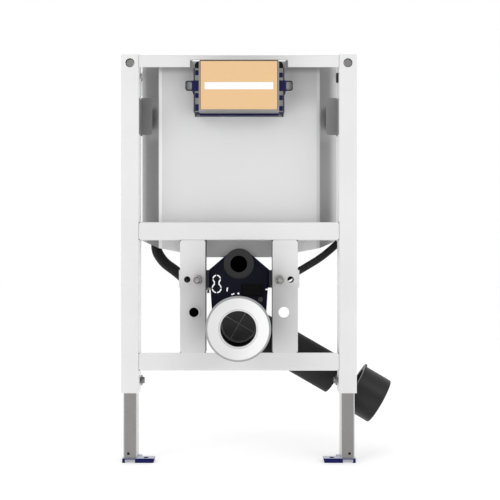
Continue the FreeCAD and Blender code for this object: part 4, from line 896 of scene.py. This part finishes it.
# %% Clamp bolts
CLAMP_X, CLAMP_Z = 226, 181
COLLAR = [(3.5, 6.1), (3.5, 6.2), (3.8, 6.5), (6.2, 6.5), (6.5, 6.2)]
WASHER = [(6.5, 11.3), (6.8, 11.8), (8.1, 11.8), (8.5, 11.2)]


def clamp_bolt(name, side):
    mesh = bmesh.new()
    inward = ALONG["+X"] if side < 0 else ALONG["-X"]
    place = Matrix.Translation(spot(side * CLAMP_X, HALF_TUBE, CLAMP_Z)) @ inward
    threaded(mesh, place, radius=4.0, pitch=1.25, start=0.0, end=8.5)
    turned(mesh, place, COLLAR)
    turned(mesh, place, WASHER)
    hexagon(mesh, place, flats=6.5, start=8.5, end=13.8)
    threaded_piece(mesh, name, clamp_zinc)


for hand, side in SIDES.items():
    clamp_bolt(hand + "_clamp_bolt", side)


# %% Bracket bolt and nut
def bracket_fixing(name, at, way, flats, nut, thread, finish):
    mesh = bmesh.new()
    place = Matrix.Translation(spot(*at)) @ ALONG[way]
    radius, pitch = 3.0, 1.0
    hexagon(mesh, place, flats, *nut)
    threaded(mesh, place, radius, pitch, *thread)
    threaded_piece(mesh, name, finish)


bracket_fixing("bracket_bolt", at=(-70.5, 44, 375), way="+Z", flats=5.0, nut=(8, 13),
               thread=(0, 8.5), finish=finishes["zinc"])
bracket_fixing("bracket_nut", at=(48.5, 24.5, 361.5), way="+Y", flats=5.5, nut=(2.5, 7.5),
               thread=(0, 3), finish=dark_zinc)

# %% [markdown]
# ## Weld beads
# The rails are welded between the uprights before the frame is painted. The middle
# rail is a tube, and the other two are angles of bent sheet with one level flange. The
# front joints are ground flush, but on the level faces and at the back the beads still
# show their ripples under the paint. A bead is a fan of points swept along the corner,
# and its size swells and shrinks with every drop of metal.

# %% One bead along a corner
RIPPLE, ROW = 1.9, 0.4
FAN = 7


def bead(mesh, start, end, across, out, size, turn=90, flat=1.0):
    """A rippled fillet from start to end, between two directions."""
    start, end = spot(*start), spot(*end)
    across, out = Vector(across), Vector(out)
    length = (end - start).length / MM
    rows = round(length / ROW)
    loops = []
    for row in range(rows + 1):
        along = row / rows
        ripple = abs(math.sin(math.pi * along * length / RIPPLE))
        taper = min(1, 6 * along + 0.3, 6 * (1 - along) + 0.3)
        reach = size * taper * (0.84 + 0.16 * ripple) * MM
        centre = start.lerp(end, along)
        loop = [mesh.verts.new(centre)] if turn < 180 else []
        for n in range(FAN):
            angle = math.radians(turn * n / (FAN - 1))
            lean = math.cos(angle) * across + flat * math.sin(angle) * out
            loop.append(mesh.verts.new(centre + reach * lean))
        loops.append(loop)
    join_rings(mesh, loops)


print("one ripple every", RIPPLE, "mm")

# %% Beads at the rails and the plates
LEVEL_BEADS = [
    (535.5, 1, 2.3), (495.5, -1, 2.3),  # above and below the middle rail
    (207, 1, 2.3), (205, -1, 2.3),  # the lower rail's flange
    (905.5, -1, 2.3), (907.5, 1, 1.4),  # the top rail's flange
]
UPRIGHT_BEADS = [(210, 243), (882, 902.5)]  # behind the sheets of those two rails
PLATE_BEADS = [(2, 245), (3, 495.5)]  # along the ends of the pan plates


def frame_welds(name, side):
    mesh = bmesh.new()
    inner = side * INNER_X
    inward, back = (-side, 0, 0), (0, 1, 0)
    for level, up, size in LEVEL_BEADS:
        bead(mesh, (inner, 4.5, level), (inner, 37.5, level), inward, (0, 0, up), size=size)
    for low, high in UPRIGHT_BEADS:
        bead(mesh, (inner, 2, low), (inner, 2, high), inward, back, size=1.8)
    bead(mesh, (inner, 40, 497), (inner, 40, 534), (1, 0, 0), back, size=2.6, turn=180,
         flat=0.4)
    for depth, level in PLATE_BEADS:
        bead(mesh, (side * 80, depth, level), (side * 125, depth, level), back, (0, 0, -1),
             size=1.6)
    bmesh.ops.recalc_face_normals(mesh, faces=mesh.faces)
    return piece_of(mesh, name, finishes["frame_coat"], sharp=60)


for hand, side in SIDES.items():
    welds = frame_welds(hand + "_welds", side)
    print(welds.name, len(welds.data.polygons), "faces")

# %% [markdown]
# ## Strips at the cover, and the supply hose
# A dark strip closes the gap above the cover board, painted shade where the gap's
# shadow falls, and a narrow grey sheet lip at each side of the window in the top rail
# is painted shade for the shadow in the window. Both are flat bars with their long
# edges broken, made by bevelling a box. The hose's outer sleeve is a little thicker
# than the hose itself, so its mesh is copied and every point moved out along its
# normal, except where it would meet the bar in front of it.

# %% Flat bars with broken edges
BROKEN = 0.4


def flat_bar(name, low, high, finish):
    mesh = bmesh.new()
    bmesh.ops.create_cube(mesh, size=1)
    low, high = spot(*low), spot(*high)
    for point in mesh.verts:
        point.co = [low[n] if point.co[n] < 0 else high[n] for n in range(3)]
    bmesh.ops.bevel(mesh, geom=mesh.edges[:], offset=BROKEN * MM, segments=2,
                    affect="EDGES")
    return piece_of(mesh, name, finish, sharp=60)


# Painted shade: a dark strip where the gap above the cover is in shadow.
gap_shade = moulded("gap-shade-strip", (0.22, 0.16, 0.12), (0.17, 0.125, 0.095), 0.55, 0.2,
               0.8 * MM, 0.02 * MM)
flat_bar("cover_gap_shade", (-87, 0.4, 894.6), (87, 3.2, 896.9), gap_shade)
# Painted shade: grey sheet lips at the sides of the window in the top rail.
for hand, side in SIDES.items():
    edges = sorted((side * 108.9, side * 103.4))
    flat_bar(hand + "_window_lip", (edges[0], 2.3, 881), (edges[1], 3.8, 896),
             finishes["bracket_metal"])
print("edging and two lips made")

# %% Hose sleeve
SLEEVE = 1.2
bar_back = spot(0, 48.1, 0).y

mesh = bmesh.new()
mesh.from_mesh(nodes["supply_hose"].data)
mesh.normal_update()
for point in mesh.verts:
    point.co += point.normal * SLEEVE * MM
    point.co.y = max(point.co.y, bar_back)
hose = piece_of(mesh, "supply_hose_sleeve", finishes["hose_rubber"],
                sharp=40)
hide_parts("supply_hose")
print("hose", len(hose.data.polygons), "faces")

# %% [markdown]
# ## Floor and light
# The studio is a pale floor that runs into a white backdrop. A white room all round
# would light everything evenly, so metal facing the camera would look white too: in
# the photo it is grey, because it mirrors the darker side of the room where the camera
# stands. The world is therefore white only behind the object, paler grey at the sides
# and darkest towards the camera, and two large soft lights make up for it on the
# painted steel. The floor glows a little, so that no horizon shows in front.

# %% Pale floor
floor_mesh = bpy.data.meshes.new("studio_floor")
reach = 9.0
floor_level = cad_box[0].z
corners = [(-reach, -reach), (reach, -reach), (reach, reach), (-reach, reach)]
floor_mesh.from_pydata([(x, y, floor_level) for x, y in corners], [], [(0, 1, 2, 3)])
floor = bpy.data.objects.new("studio_floor", floor_mesh)
bpy.context.scene.collection.objects.link(floor)
floor_paint = Finish("pale_floor", Base_Color=neutral(0.85), Roughness=0.9,
                     Specular_IOR_Level=0.1, Emission_Color=(1, 1, 1),
                     Emission_Strength=0.34)
floor_mesh.materials.append(floor_paint.material)
print("floor at", round(floor_level, 3), "m")

# %% White backdrop, grey sides, darker towards the camera
FADES = [
    (-0.95, -0.35, 0.42, 0.80),  # from the camera's side to the sides of the room
    (0.72, 0.90, 0.0, 0.20),  # and from there to the backdrop
]

world = bpy.data.worlds.new("white_room")
bpy.context.scene.world = world
world.use_nodes = True
room = world.node_tree
towards = room.nodes.new("ShaderNodeTexCoord")
split = room.nodes.new("ShaderNodeSeparateXYZ")
room.links.new(towards.outputs["Generated"], split.inputs[0])
total = room.nodes.new("ShaderNodeMath")
for n, stops in enumerate(FADES):
    fade = room.nodes.new("ShaderNodeMapRange")
    fade.interpolation_type = "SMOOTHSTEP"
    for socket, stop in zip(("From Min", "From Max", "To Min", "To Max"), stops):
        fade.inputs[socket].default_value = stop
    room.links.new(split.outputs["Y"], fade.inputs["Value"])
    room.links.new(fade.outputs[0], total.inputs[n])
room.links.new(total.outputs[0], room.nodes["Background"].inputs["Strength"])
room.nodes["Background"].inputs["Color"].default_value = (1, 1, 1, 1)
print("room in", len(FADES), "fades")


# %% Two soft lights
def soft_light(name, place, target, size, power):
    data = bpy.data.lights.new(name, "AREA")
    data.size = size
    data.energy = power
    lamp = bpy.data.objects.new(name, data)
    lamp.location = place
    aim = Vector(target) - Vector(place)
    lamp.rotation_euler = aim.to_track_quat("-Z", "Y").to_euler()
    bpy.context.scene.collection.objects.link(lamp)


middle = (0.2425, -0.1, -0.4)
soft_light("left_softbox", (-1.7, -2.1, 0.9), middle, size=1.6, power=18)
soft_light("right_softbox", (2.1, -1.9, 0.5), middle, size=1.6, power=14)
bpy.context.scene.view_settings.view_transform = "Standard"
print("lights ready")
